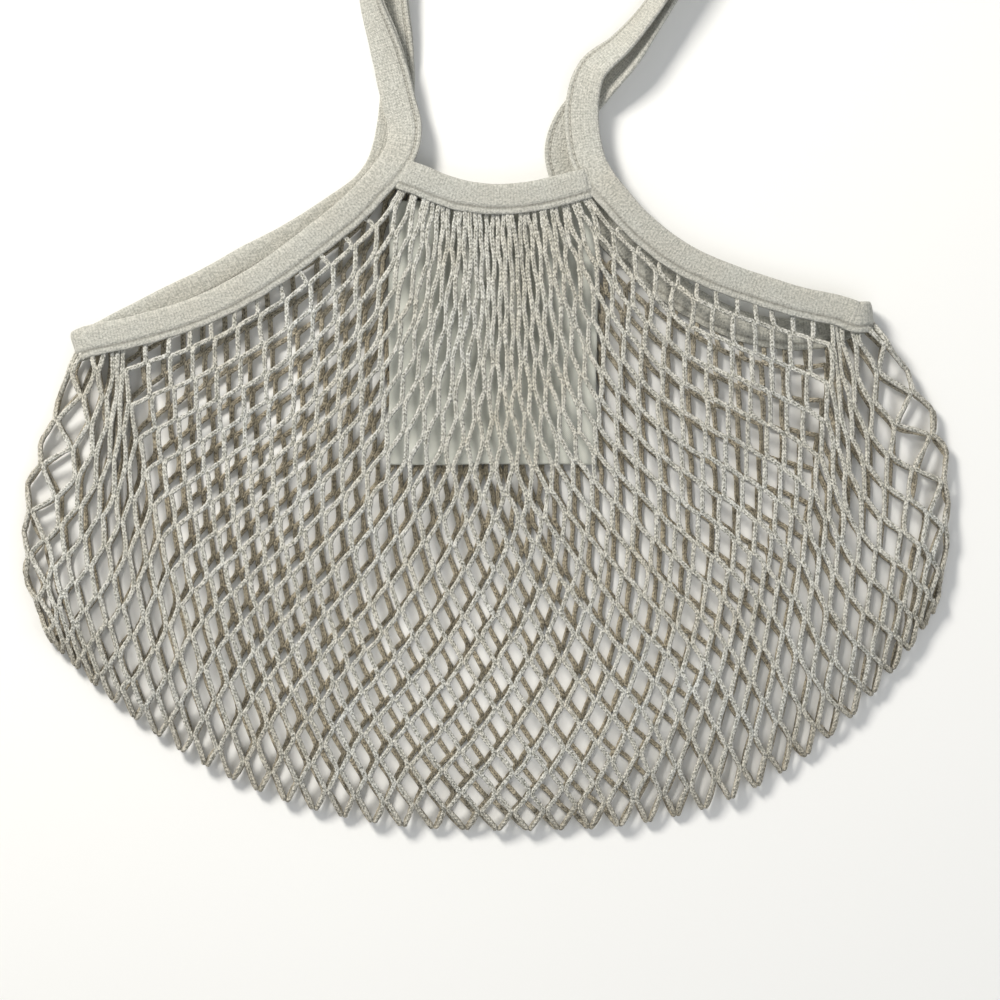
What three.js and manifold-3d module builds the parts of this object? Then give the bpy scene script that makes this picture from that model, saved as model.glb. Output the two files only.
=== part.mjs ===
// String shopping bag: a cotton net tube with a knitted tape round its mouth.
// It lies flat on its back, with both handles slack on the floor beyond the mouth.
// Millimetres, +Z up. The origin is on the floor under the middle of the back mouth
// band, +Y runs from the mouth towards the handles, and -Y to the bottom fold.
import * as THREE from 'three';
import { mergeVertices } from 'three/addons/utils/BufferGeometryUtils.js';
import Module from 'manifold-3d';

const wasm = await Module();
wasm.setup();

// Overall sizes of the bag as it lies
const bagWidth = 420;
const bagDepth = 284;
const handleReach = 236;
const layerRise = 11.3;

// Net: one strand here stands for three cords of the real net
const netThickness = 2;
const strandWidth = 6.4;
const fitClearance = 0.35;

// Knitted tape, folded lengthwise round the net's edge or onto itself
const clothThickness = 1;
const bandWidth = 14;
const slotDepth = 10;
const tuckDepth = 7;
const strapWidth = 15.5;
const strapThickness = 3;
const foldRounding = 0.9;
const seamGap = 0.8;
const seamDepth = 1.5;
const tapeStep = 12;

// Sewn-in cloth label between the two layers of net
const labelWidth = 94;
const labelLength = 119;
const labelThickness = 1;
const labelCrease = 1.6;
const labelCreaseWidth = 9;

// Depth of the folds in the front layer of net
const gatherDepth = 1.6;
const middleSag = 2.4;
const foldDent = 4.2;

const slotHeight = netThickness + 2 * fitClearance;
const bandHeight = slotHeight + 2 * clothThickness;
const halfBag = bagWidth / 2;
const backBandMid = bandHeight / 2;
const frontBandMid = backBandMid + layerRise;
const backNetMid = netThickness / 2;
const foldMid = (frontBandMid + backNetMid) / 2;

const { lerp, smoothstep, clamp, degToRad } = THREE.MathUtils;

// A table's rows as objects, so that each number is read by its column's name
const table = (columns, rows) =>
  rows.map((row) => Object.fromEntries(columns.map((column, i) => [column, row[i]])));

// Shares of a plan place. x: of half the width. y: of the handles' reach above the
// mouth, or of the bag's depth below it.
const planPlace = ({ x, y }) =>
  new THREE.Vector2(x * halfBag, y * (y > 0 ? handleReach : bagDepth));

// The tape is one loop: left corner, front band, front handle, front band, right
// corner, back band, back handle, back band. roll: degrees that the tape leans, with
// its inner edge up. rise: share of the layers' distance under it. bound: 1 where it
// binds the net's edge, 0 where it is a handle.
const tapeColumns = ['x', 'y', 'roll', 'rise', 'bound'];
const frontTapeRows = table(tapeColumns, [
  [-0.872, -0.224, 0, 1, 1],
  [-0.765, -0.207, 0, 1, 1],
  [-0.636, -0.177, 0, 1, 1],
  [-0.508, -0.128, 0, 1, 1],
  [-0.379, -0.059, 0, 1, 1],
  [-0.304, -0.013, 0, 1, 1],
  [-0.255, 0.031, 0, 1, 1],
  [-0.222, 0.067, 2, 0.92, 0.6],
  [-0.203, 0.1, 4, 0.8, 0.1],
  [-0.198, 0.14, 6, 0.62, 0],
  [-0.211, 0.19, 8, 0.46, 0],
  [-0.229, 0.258, 14, 0.38, 0],
  [-0.246, 0.312, 34, 0.34, 0],
  [-0.27, 0.381, 58, 0.32, 0],
  [-0.286, 0.508, 58, 0.32, 0],
  [-0.276, 0.657, 45, 0.32, 0],
  [-0.21, 0.805, 28, 0.32, 0],
  [-0.086, 0.932, 10, 0.32, 0],
  [0.095, 0.993, 0, 0.32, 0],
  [0.286, 0.951, -10, 0.32, 0],
  [0.419, 0.835, -30, 0.32, 0],
  [0.471, 0.678, -48, 0.32, 0],
  [0.438, 0.525, -60, 0.32, 0],
  [0.341, 0.378, -62, 0.32, 0],
  [0.268, 0.299, -52, 0.34, 0],
  [0.204, 0.248, -32, 0.36, 0],
  [0.184, 0.191, -12, 0.4, 0],
  [0.184, 0.124, -6, 0.6, 0],
  [0.196, 0.075, -3, 0.84, 0.1],
  [0.221, 0.035, 0, 0.96, 0.7],
  [0.253, 0, 0, 1, 1],
  [0.306, -0.043, 0, 1, 1],
  [0.392, -0.092, 0, 1, 1],
  [0.478, -0.122, 0, 1, 1],
  [0.564, -0.144, 0, 1, 1],
  [0.649, -0.163, 0, 1, 1],
  [0.735, -0.177, 0, 1, 1],
  [0.769, -0.187, 0, 1, 1],
]);
const backTapeRows = table(tapeColumns, [
  [0.769, -0.187, 0, 0, 1],
  [0.71, -0.207, 0, 0, 1],
  [0.628, -0.212, 0, 0, 1],
  [0.531, -0.2, 0, 0, 1],
  [0.435, -0.168, 0, 0, 1],
  [0.349, -0.124, 0, 0, 1],
  [0.264, -0.068, 0, 0, 1],
  [0.21, -0.024, 0, 0, 1],
  [0.167, 0.02, 0, 0, 0.8],
  [0.144, 0.062, 0, 0, 0.1],
  [0.139, 0.1, 0, 0, 0],
  [0.153, 0.14, 0, 0, 0],
  [0.184, 0.183, -8, 0, 0],
  [0.229, 0.225, -34, 0, 0],
  [0.285, 0.276, -56, 0, 0],
  [0.364, 0.381, -60, 0, 0],
  [0.467, 0.538, -58, 0, 0],
  [0.51, 0.665, -46, 0, 0],
  [0.462, 0.809, -28, 0, 0],
  [0.333, 0.918, -10, 0, 0],
  [0.143, 0.958, 0, 0, 0],
  [-0.019, 0.91, 10, 0, 0],
  [-0.148, 0.8, 28, 0, 0],
  [-0.214, 0.657, 42, 0, 0],
  [-0.229, 0.508, 46, 0, 0],
  [-0.223, 0.381, 36, 0, 0],
  [-0.216, 0.305, 14, 0, 0],
  [-0.214, 0.219, 0, 0, 0],
  [-0.223, 0.133, 0, 0, 0],
  [-0.234, 0.095, 0, 0, 0.1],
  [-0.251, 0.061, 0, 0, 0.6],
  [-0.281, 0.027, 0, 0, 1],
  [-0.362, -0.021, 0, 0, 1],
  [-0.45, -0.062, 0, 0, 1],
  [-0.536, -0.095, 0, 0, 1],
  [-0.621, -0.13, 0, 0, 1],
  [-0.696, -0.157, 0, 0, 1],
  [-0.79, -0.192, 0, 0, 1],
  [-0.872, -0.224, 0, 0, 1],
]);

// Plan heading in which the tape runs out at each corner before it turns over, degrees
const cornerHeading = { left: 200, right: 5 };
const cornerSteps = 7;

// Middle line of the two short bands, which runs on under the tape at both ends
const rimRows = table(['x', 'y'], [
  [-0.238, 0.068],
  [-0.201, 0.048],
  [-0.165, 0.036],
  [-0.122, 0.02],
  [-0.079, 0.008],
  [-0.036, 0.002],
  [0, 0],
  [0.045, 0.002],
  [0.092, 0.008],
  [0.135, 0.017],
  [0.178, 0.027],
  [0.235, 0.04],
]);
const rimStep = 9;

// The net's cells are diamonds on a grid of columns and half rows. These rows give the
// fold at each side and the middle of each half row; full: how square its sag is.
const netRows = table(['leftX', 'leftY', 'middleY', 'rightX', 'rightY', 'leftFull', 'rightFull'], [
  [0, 0, -0.022, 0, 0, 2, 2],
  [0, 0, -0.144, 0, 0, 2, 2],
  [0, 0, -0.266, 0, 0, 2, 2],
  [0, 0, -0.388, 0, 0, 2, 2],
  [-0.9, -0.247, -0.51, 0.812, -0.211, 2.1, 2.2],
  [-0.966, -0.352, -0.631, 0.919, -0.301, 2.2, 2.4],
  [-1.014, -0.464, -0.753, 0.971, -0.417, 2.3, 2.6],
  [-1.018, -0.583, -0.875, 0.969, -0.539, 2.4, 2.8],
  [-0.96, -0.697, -0.997, 0.941, -0.65, 2.5, 3.1],
]);
const mouthColumns = 2;
const bandRow = 4;
const foldColumns = 5;
const bottomRow = netRows.length - 1;
const bandShares = [0.05, 0.27, 0.49, 0.71, 0.9];

function mix(rows, place, column) {
  const i = Math.min(Math.floor(place), rows.length - 2);
  return lerp(rows[i][column], rows[i + 1][column], place - i);
}

const sideways = (heading, side) => new THREE.Vector3(side * heading.y, -side * heading.x, 0);
const tapeWidth = (bound) => lerp(strapWidth, bandWidth, bound);
const tapeHeight = (bound) => lerp(strapThickness, bandHeight, bound);

// Stations along a smooth curve through the rows; inner: 1 when the net is to the right
function tapeStations(rows, inner) {
  const flat = rows.map((row) => new THREE.Vector3(...planPlace(row), 0));
  const curve = new THREE.CatmullRomCurve3(flat, false, 'centripetal');
  const steps = Math.round(curve.getLength() / tapeStep);
  return Array.from({ length: steps + 1 }, (_, i) => {
    const t = curve.getUtoTmapping(i / steps);
    const place = t * (rows.length - 1);
    const bound = mix(rows, place, 'bound');
    const lean = degToRad(mix(rows, place, 'roll'));
    const across = sideways(curve.getTangent(t), inner).multiplyScalar(Math.cos(lean));
    across.z = Math.sin(lean);
    return { middle: curve.getPoint(t), across, bound, rise: mix(rows, place, 'rise') };
  });
}

// The half turn from one layer to the other at a corner; up: 1 when it runs upwards
function cornerStations(row, headingDegrees, up) {
  const angle = degToRad(headingDegrees);
  const heading = new THREE.Vector3(Math.cos(angle), Math.sin(angle), 0);
  const radius = layerRise / 2;
  return Array.from({ length: cornerSteps }, (_, i) => {
    const turn = up * Math.PI * ((i + 1) / (cornerSteps + 1) - 0.5);
    const middle = new THREE.Vector3(...planPlace(row), backBandMid + radius);
    middle.addScaledVector(heading, radius * Math.cos(turn));
    middle.z += radius * Math.sin(turn);
    return { middle, across: sideways(heading, -up), bound: 1 };
  });
}

// Each station gets its own axes: along, across towards the net, and out of the tape
function frameStations(stations, closed) {
  const count = stations.length;
  const at = (i) => stations[closed ? (i + count) % count : clamp(i, 0, count - 1)];
  const eased = stations.map((_, i) =>
    [-2, -1, 0, 1, 2].reduce((sum, k) => sum.add(at(i + k).across), new THREE.Vector3()));
  return stations.map((station, i) => {
    const along = at(i + 1).middle.clone().sub(at(i - 1).middle).normalize();
    const across = eased[i].addScaledVector(along, -eased[i].dot(along)).normalize();
    return { ...station, along, across, out: along.clone().cross(across) };
  });
}

// Section of the tape: a strip folded in two, with its open edge towards the net
function foldedSection(bound) {
  const w = tapeWidth(bound) / 2;
  const h = tapeHeight(bound) / 2;
  const gap = lerp(seamGap, slotHeight, bound) / 2;
  const deep = lerp(seamDepth, slotDepth, bound);
  return [
    [-w + foldRounding, -h], [w, -h], [w, -gap], [w - deep, -gap], [w - deep, gap],
    [w, gap], [w, h], [-w + foldRounding, h], [-w, h - foldRounding], [-w, foldRounding - h],
  ];
}

// Section of the room that the tape takes, with the clearance round it
function clearSection(bound) {
  const w = tapeWidth(bound) / 2 + fitClearance;
  const h = tapeHeight(bound) / 2 + fitClearance;
  return [[-w, -h], [w, -h], [w, h], [-w, h]];
}

// Sets each leaning station down by its lowest corner, on the floor or on its rise
function setDown(stations) {
  return stations.map((station) => {
    if (station.rise === undefined) {
      return station;
    }
    const low = Math.min(...foldedSection(station.bound).map(([w, h]) =>
      w * station.across.z + h * station.out.z));
    const { x, y } = station.middle;
    return { ...station, middle: new THREE.Vector3(x, y, station.rise * layerRise - low) };
  });
}

function solidOf(points, faces) {
  const geometry = new THREE.BufferGeometry();
  geometry.setAttribute('position', new THREE.Float32BufferAttribute(points.flatMap((p) => [...p]), 3));
  const volume = faces.reduce(
    (sum, [a, b, c]) => sum + points[a].dot(points[b].clone().cross(points[c])), 0);
  const outward = volume > 0 ? faces : faces.map(([a, b, c]) => [a, c, b]);
  geometry.setIndex(outward.flat());
  return mergeVertices(geometry, 1e-4);
}

// A section carried along framed stations, as one closed body
function sweep(stations, sectionAt, closed) {
  const size = sectionAt(1).length;
  const points = stations.flatMap(({ middle, across, out, bound }) =>
    sectionAt(bound).map(([w, h]) =>
      middle.clone().addScaledVector(across, w).addScaledVector(out, h)));
  const spans = closed ? stations.length : stations.length - 1;
  const faces = [];
  for (let i = 0; i < spans; i += 1) {
    const here = i * size;
    const next = ((i + 1) % stations.length) * size;
    for (let k = 0; k < size; k += 1) {
      const l = (k + 1) % size;
      faces.push([here + k, here + l, next + l], [here + k, next + l, next + k]);
    }
  }
  if (!closed) {
    const outline = sectionAt(1).map(([w, h]) => new THREE.Vector2(w, h));
    const last = (stations.length - 1) * size;
    for (const [a, b, c] of THREE.ShapeUtils.triangulateShape(outline, [])) {
      faces.push([a, c, b], [last + a, last + b, last + c]);
    }
  }
  return solidOf(points, faces);
}

// Arc length shares of a run of stations, and the frame at a share of the run
function runOf(stations) {
  const places = [0];
  stations.slice(1).forEach((station, i) =>
    places.push(places[i] + station.middle.distanceTo(stations[i].middle)));
  const total = places.at(-1);
  return (share) => {
    const want = clamp(share, 0, 1) * total;
    const i = clamp(places.findIndex((place) => place > want) - 1, 0, stations.length - 2);
    const j = want >= total ? stations.length - 2 : i;
    const f = (want - places[j]) / (places[j + 1] - places[j]);
    return {
      middle: stations[j].middle.clone().lerp(stations[j + 1].middle, f),
      across: stations[j].across.clone().lerp(stations[j + 1].across, f).normalize(),
    };
  };
}

const frontStations = tapeStations(frontTapeRows, 1);
const backStations = tapeStations(backTapeRows, -1);
const laidOut = [
  ...frontStations,
  ...cornerStations(frontTapeRows.at(-1), cornerHeading.right, -1),
  ...backStations,
  ...cornerStations(frontTapeRows[0], cornerHeading.left, 1),
];
const loop = setDown(frameStations(setDown(frameStations(laidOut, true)), true));
const frontLoop = loop.slice(0, frontStations.length);
const backLoop = loop.slice(frontStations.length + cornerSteps, loop.length - cornerSteps);
const cornerFrames = {
  right: loop[frontStations.length + (cornerSteps - 1) / 2],
  left: loop[loop.length - (cornerSteps + 1) / 2],
};
const bindings = (stations) => stations.filter(({ bound }) => bound === 1);
const leftOf = (stations) => bindings(stations).filter(({ middle }) => middle.x < 0);
const rightOf = (stations) => bindings(stations).filter(({ middle }) => middle.x > 0);
const bandRuns = {
  front: { left: runOf(leftOf(frontLoop).reverse()), right: runOf(rightOf(frontLoop)) },
  back: { left: runOf(leftOf(backLoop)), right: runOf(rightOf(backLoop).reverse()) },
};

function rimStations(height) {
  const flat = rimRows.map((row) => new THREE.Vector3(...planPlace(row), height));
  const curve = new THREE.CatmullRomCurve3(flat, false, 'centripetal');
  const steps = Math.round(curve.getLength() / rimStep);
  return frameStations(Array.from({ length: steps + 1 }, (_, i) => {
    const t = curve.getUtoTmapping(i / steps);
    return { middle: curve.getPoint(t), across: sideways(curve.getTangent(t), 1), bound: 1 };
  }), false);
}

const rims = { front: rimStations(frontBandMid), back: rimStations(backBandMid) };
const rimRuns = { front: runOf(rims.front), back: runOf(rims.back) };

// Distance in plan from a place to a path of stations
function pathDistance(place, stations) {
  const here = new THREE.Vector3(place.x, place.y, 0);
  const flat = stations.map(({ middle }) => new THREE.Vector3(middle.x, middle.y, 0));
  const nearest = new THREE.Vector3();
  return Math.min(...flat.slice(1).map((point, i) =>
    new THREE.Line3(flat[i], point).closestPointToPoint(here, true, nearest).distanceTo(here)));
}

// Shares of each rim path between which it is clear of the tape
function clearShares(layer) {
  const tape = layer === 'front' ? frontLoop : backLoop;
  const steps = 80;
  const isClear = (i) =>
    pathDistance(rimRuns[layer](i / steps).middle, tape) > bandWidth / 2 + fitClearance;
  let [first, last] = [steps / 2, steps / 2];
  while (first > 0 && isClear(first - 1)) {
    first -= 1;
  }
  while (last < steps && isClear(last + 1)) {
    last += 1;
  }
  return [first / steps, last / steps];
}

const mouthShares = { front: clearShares('front'), back: clearShares('back') };

// The net's edge sits in the tape's slot, and comes out of it towards a band's ends
function edgePlace(frame, share, fade) {
  const tucked = smoothstep(share, fade[0], fade[1]) * (1 - smoothstep(share, fade[2], fade[3]));
  const clear = (bandWidth + netThickness) / 2 + 2 * fitClearance;
  return frame.middle.clone().addScaledVector(frame.across, lerp(clear, bandWidth / 2 - tuckDepth, tucked));
}

const sideEdge = (layer, side, share) =>
  edgePlace(bandRuns[layer][side](share), share, [0.05, 0.16, 0.78, 0.9]);
const mouthEdge = (layer, column) => {
  const share = (column / mouthColumns + 1) / 2;
  const frame = rimRuns[layer](lerp(...mouthShares[layer], share));
  return edgePlace(frame, share, [0.02, 0.2, 0.8, 0.98]);
};

// Distance in plan from a place to the nearest band of its layer
function bandDistance(place, layer) {
  const tape = layer === 'front' ? frontLoop : backLoop;
  return Math.min(pathDistance(place, tape), pathDistance(place, rims[layer])) - bandWidth / 2;
}

// Folds of the front layer as dents. size: their half width and half length.
const dents = table(['x', 'y', 'width', 'length', 'depth'], [
  [-0.65, -0.37, 0.2, 0.17, foldDent],
  [0.005, -0.68, 0.5, 0.2, middleSag],
  [0.55, -0.45, 0.22, 0.17, middleSag],
]);

function netHeight(place, layer) {
  const away = smoothstep(bandDistance(place, layer), 20, 56);
  if (layer === 'back') {
    return lerp(backBandMid, backNetMid, away);
  }
  const dented = dents.reduce((sum, dent) => {
    const across = (place.x - dent.x * halfBag) / (dent.width * halfBag);
    const down = (place.y - dent.y * bagDepth) / (dent.length * bagDepth);
    return sum + dent.depth * Math.exp(-(across ** 2) - down ** 2);
  }, 0);
  return frontBandMid - away * dented;
}

const halfWidthOf = (row) => (row < bandRow ? mouthColumns + row / 2 : bandRow);

// Place of a net node. Rows above the corners end in the bands, the others at the folds.
function netNode(layer, column, row) {
  const side = column < 0 ? 'left' : 'right';
  const reach = Math.abs(column);
  const onFold = row === bottomRow || reach === foldColumns;
  if (row === 0 && reach < mouthColumns) {
    return mouthEdge(layer, column);
  }
  if (row <= bandRow && reach === halfWidthOf(row)) {
    return sideEdge(layer, side, bandShares[row]);
  }
  if (row === bandRow && reach === foldColumns) {
    return edgePlace(cornerFrames[side], 0, [0, 1, 0, 1]);
  }
  const rowAt = netRows[row];
  const end = row < bandRow || (row === bandRow && reach < foldColumns)
    ? sideEdge(layer, side, bandShares[row])
    : new THREE.Vector2(rowAt[`${side}X`] * halfBag, rowAt[`${side}Y`] * bagDepth);
  const share = reach / (row <= bandRow && reach < foldColumns ? halfWidthOf(row) : foldColumns);
  const sag = 1 - share ** rowAt[`${side}Full`];
  const place = new THREE.Vector3(end.x * share, lerp(end.y, rowAt.middleY * bagDepth, sag), foldMid);
  if (!onFold) {
    place.z = netHeight(place, layer);
  }
  return place;
}

// Collects the mid surface of the net: shared nodes, rings round gaps, closed cells
class NetSurface {
  constructor() {
    this.points = [];
    this.keys = new Map();
    this.faces = [];
    this.gaps = 0;
  }

  add(key, makePoint) {
    if (!this.keys.has(key)) {
      this.keys.set(key, this.points.length);
      this.points.push(makePoint());
    }
    return this.keys.get(key);
  }

  node(layer, column, row) {
    const shared = row === bottomRow || Math.abs(column) === foldColumns;
    return this.add(`${shared ? 'fold' : layer} ${column} ${row}`, () => netNode(layer, column, row));
  }

  // Middle of the strand between two nodes; the net's own edges follow band or fold
  between(layer, a, b) {
    const column = (a[0] + b[0]) / 2;
    const row = (a[1] + b[1]) / 2;
    const ends = [this.node(layer, ...a), this.node(layer, ...b)];
    const key = `${ends.sort((p, q) => p - q)} middle`;
    return this.add(key, () => {
      const side = column < 0 ? 'left' : 'right';
      const [first, second] = ends.map((i) => this.points[i]);
      const middle = first.clone().lerp(second, 0.5);
      const onSide = Math.abs(a[0]) === halfWidthOf(a[1]) && Math.abs(b[0]) === halfWidthOf(b[1]);
      if (row === 0 && Math.abs(column) < mouthColumns) {
        return mouthEdge(layer, column);
      }
      if (row === bandRow && Math.abs(column) > bandRow) {
        return sideEdge(layer, side, (bandShares[bandRow] + 1) / 2);
      }
      if (row < bandRow && onSide && a[1] !== b[1]) {
        return sideEdge(layer, side, (bandShares[a[1]] + bandShares[b[1]]) / 2);
      }
      if (row === bottomRow || (Math.abs(column) === foldColumns && Number.isInteger(row))) {
        return netNode(layer, column, row);
      }
      middle.z = netHeight(middle, layer);
      return middle;
    });
  }

  cell(layer, corners, gap) {
    const outer = corners.flatMap((corner, i) =>
      [this.node(layer, ...corner), this.between(layer, corner, corners[(i + 1) % corners.length])]);
    const ring = outer.map((i) => this.points[i]);
    const centre = ring.reduce((sum, p) => sum.add(p), new THREE.Vector3()).divideScalar(ring.length);
    const turned = layer === 'front' ? outer : [...outer].reverse();
    if (!gap) {
      const gathered = smoothstep(bandDistance(centre, layer), 18, 34);
      centre.z -= layer === 'front' ? gatherDepth * gathered : 0;
      const hub = this.points.push(centre) - 1;
      turned.forEach((p, i) => this.faces.push([hub, p, turned[(i + 1) % turned.length]]));
      return;
    }
    this.gaps += 1;
    const edge = ring.reduce((sum, p, i) => sum + p.distanceTo(ring[(i + 1) % ring.length]), 0);
    const area = ring.reduce((sum, p, i) => {
      const q = ring[(i + 1) % ring.length];
      return sum + (p.x * q.y - q.x * p.y) / 2;
    }, 0);
    const inset = clamp((strandWidth / 4) * (edge / Math.abs(area)), 0.1, 0.75);
    const inner = turned.map((i) => this.points.push(this.points[i].clone().lerp(centre, inset)) - 1);
    turned.forEach((p, i) => {
      const k = (i + 1) % turned.length;
      this.faces.push([p, turned[k], inner[k]], [p, inner[k], inner[i]]);
    });
  }

  // Both skins half the thickness off the mid surface, joined round every open edge
  thicken(thickness) {
    const normals = this.points.map(() => new THREE.Vector3());
    for (const face of this.faces) {
      const [a, b, c] = face.map((i) => this.points[i]);
      const normal = b.clone().sub(a).cross(c.clone().sub(a));
      face.forEach((i) => normals[i].add(normal));
    }
    const skin = (offset) =>
      this.points.map((p, i) => p.clone().addScaledVector(normals[i].clone().normalize(), offset));
    const count = this.points.length;
    const edges = new Set(this.faces.flatMap(([a, b, c]) => [`${a} ${b}`, `${b} ${c}`, `${c} ${a}`]));
    const walls = [...edges].map((edge) => edge.split(' ').map(Number))
      .filter(([a, b]) => !edges.has(`${b} ${a}`))
      .flatMap(([a, b]) => [[a, count + a, count + b], [a, count + b, b]]);
    const under = this.faces.map(([a, b, c]) => [count + a, count + c, count + b]);
    const points = [...skin(thickness / 2), ...skin(-thickness / 2)];
    return solidOf(points, [...this.faces, ...under, ...walls]);
  }
}

function netBody() {
  const net = new NetSurface();
  for (const layer of ['front', 'back']) {
    for (let row = 0; row <= bottomRow; row += 1) {
      const reach = row <= bandRow ? halfWidthOf(row) : foldColumns;
      const first = (row % 2 === 0 ? 0.5 : 0) - Math.ceil(reach);
      for (let column = first; column < reach; column += 1) {
        const inside = Math.abs(column) + 0.5 <= reach;
        const above = [column, row - 1];
        const below = [column, row + 1];
        const left = [column - 0.5, row];
        const right = [column + 0.5, row];
        if (inside && row === 0) {
          net.cell(layer, [left, below, right], false);
        } else if (inside && row === bottomRow) {
          net.cell(layer, [above, left, right], true);
        } else if (inside) {
          net.cell(layer, [above, left, below, right], row > 1);
        }
      }
      for (const side of [-1, 1]) {
        const order = (corners) => (side < 0 ? corners : [...corners].reverse());
        const inner = side * (foldColumns - 0.5);
        const fold = side * foldColumns;
        if (row > bandRow && row % 2 === 1) {
          net.cell(layer, order([[fold, row - 1], [fold, row + 1], [inner, row]]), row > bandRow + 1);
        } else if (row === bandRow) {
          net.cell(layer, order([[side * bandRow, row], [fold, row], [inner, row + 1]]), false);
        }
      }
    }
  }
  return net.thicken(netThickness);
}

// The label hangs from the back mouth band and lies on the back layer of net
function innerLabel() {
  const label = new NetSurface();
  const columns = 10;
  const rows = 9;
  const left = labelWidth * -0.52;
  const overBand = bandHeight + fitClearance + labelThickness / 2;
  const overNet = netThickness / 2 + 2 * fitClearance + labelThickness / 2;
  const grid = (i, j) => label.add(`${i} ${j}`, () => {
    const x = left + (labelWidth * i) / columns;
    const y = -(labelLength * j) / rows;
    const lowered = smoothstep(bandDistance({ x, y }, 'back'), 2, 28);
    const crease = labelCrease * Math.exp(-((x / labelCreaseWidth) ** 2)) * smoothstep(-y, 8, 36);
    const height = lerp(overBand, netHeight({ x, y }, 'back') + overNet, lowered);
    return new THREE.Vector3(x, y, height + crease);
  });
  for (let i = 0; i < columns; i += 1) {
    for (let j = 0; j < rows; j += 1) {
      const corners = [grid(i, j), grid(i, j + 1), grid(i + 1, j + 1), grid(i + 1, j)];
      label.faces.push([corners[0], corners[1], corners[2]], [corners[0], corners[2], corners[3]]);
    }
  }
  return label.thicken(labelThickness);
}

function toManifold(geometry) {
  return new wasm.Manifold(new wasm.Mesh({
    numProp: 3,
    vertProperties: geometry.attributes.position.array,
    triVerts: Uint32Array.from(geometry.index.array),
  }));
}

function fromManifold(solid) {
  const { vertProperties, triVerts } = solid.getMesh();
  const geometry = new THREE.BufferGeometry();
  geometry.setAttribute('position', new THREE.BufferAttribute(vertProperties, 3));
  geometry.setIndex([...triVerts]);
  return geometry;
}

// A short band ends where the tape covers it: its longest piece clear of the tape
function rimBand(layer) {
  const whole = toManifold(sweep(rims[layer], foldedSection, false));
  const tapeRoom = toManifold(sweep(loop, clearSection, true));
  const pieces = whole.subtract(tapeRoom).decompose();
  return fromManifold(pieces.sort((a, b) => b.volume() - a.volume())[0]);
}

const ecruCord = new THREE.MeshStandardMaterial({ color: 0xd6d8cc, roughness: 0.9, metalness: 0 });
const ecruTape = new THREE.MeshStandardMaterial({ color: 0xc6c9c1, roughness: 0.92, metalness: 0 });
const labelCloth = new THREE.MeshStandardMaterial({ color: 0xdadcd3, roughness: 0.88, metalness: 0 });

function named(name, geometry, material) {
  const mesh = new THREE.Mesh(geometry, material);
  mesh.name = name;
  return mesh;
}

const bag = new THREE.Group();
bag.name = 'string_shopping_bag';
bag.add(
  named('net_body', netBody(), ecruCord),
  named('handle_tape', sweep(loop, foldedSection, true), ecruTape),
  named('front_rim_band', rimBand('front'), ecruTape),
  named('back_rim_band', rimBand('back'), ecruTape),
  named('inner_label', innerLabel(), labelCloth),
);

export default bag;
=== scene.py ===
"""A string shopping bag of undyed cotton, lying flat on a pale floor.

The bag is one tube of chain-knitted cord, flattened into a front and a back layer.
One loop of folded knitted tape binds the side edges of its mouth and runs on as two
shoulder handles, two short bands bind the gathered middle of the mouth, and a bare
cloth label hangs inside. Lengths are in metres, +Z is up, the origin is on the floor
under the middle of the back mouth band, and +Y runs from the mouth to the handles.
"""

from __future__ import annotations

import logging
import math
from dataclasses import dataclass, field
from enum import Enum

import bpy
import numpy as np
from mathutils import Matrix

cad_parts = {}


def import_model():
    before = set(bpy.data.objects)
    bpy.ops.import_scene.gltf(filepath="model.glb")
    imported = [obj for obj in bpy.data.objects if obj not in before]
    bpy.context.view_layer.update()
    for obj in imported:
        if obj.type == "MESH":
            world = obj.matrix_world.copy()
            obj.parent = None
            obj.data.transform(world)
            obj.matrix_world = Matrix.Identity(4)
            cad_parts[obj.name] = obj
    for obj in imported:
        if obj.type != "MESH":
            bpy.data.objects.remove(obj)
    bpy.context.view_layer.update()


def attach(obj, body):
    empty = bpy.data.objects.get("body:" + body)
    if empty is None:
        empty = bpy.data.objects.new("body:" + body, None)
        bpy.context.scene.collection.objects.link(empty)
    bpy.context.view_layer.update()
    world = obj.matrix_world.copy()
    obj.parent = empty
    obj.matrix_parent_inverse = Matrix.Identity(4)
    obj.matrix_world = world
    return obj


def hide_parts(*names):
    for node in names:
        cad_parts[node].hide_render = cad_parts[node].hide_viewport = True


LOG = logging.getLogger("string_bag")
MM = 0.001
BODY = "root"
Array = np.ndarray


class Layer(Enum):
    """The two layers of the flattened bag."""

    FRONT = "front"
    BACK = "back"


class Side(Enum):
    """The two sides of the bag, seen from above, as the sign of x."""

    LEFT = -1
    RIGHT = 1


@dataclass(frozen=True)
class BagSizes:
    """Overall sizes of the bag as it lies, in metres, the same as the frame's."""

    width: float = 420 * MM
    depth: float = 284 * MM
    handle_reach: float = 236 * MM
    layer_rise: float = 11.3 * MM
    band_width: float = 14 * MM
    band_height: float = 4.7 * MM
    strap_width: float = 15.5 * MM
    strap_height: float = 3 * MM

    @property
    def back_band(self) -> float:
        """Height of the back bands' middle."""
        return self.band_height / 2

    @property
    def front_band(self) -> float:
        """Height of the front bands' middle."""
        return self.back_band + self.layer_rise

    @property
    def back_net(self) -> float:
        """Height of the back layer of net away from the bands."""
        return 1.25 * MM

    @property
    def fold(self) -> float:
        """Height of the fold between the layers."""
        return (self.front_band + self.back_net) / 2

    def place(self, x: Array, y: Array) -> Array:
        """Turn shares of the sizes into a plan place.

        Args:
            x: Share of half the bag's width.
            y: Share of the handles' reach above the mouth, or of the depth below it.

        Returns:
            Places as rows of x and y.
        """
        x = np.asarray(x, float)
        y = np.asarray(y, float)
        along = np.where(y > 0, y * self.handle_reach, y * self.depth)
        return np.stack([x * self.width / 2, along], axis=-1)


BAG = BagSizes()

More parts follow.
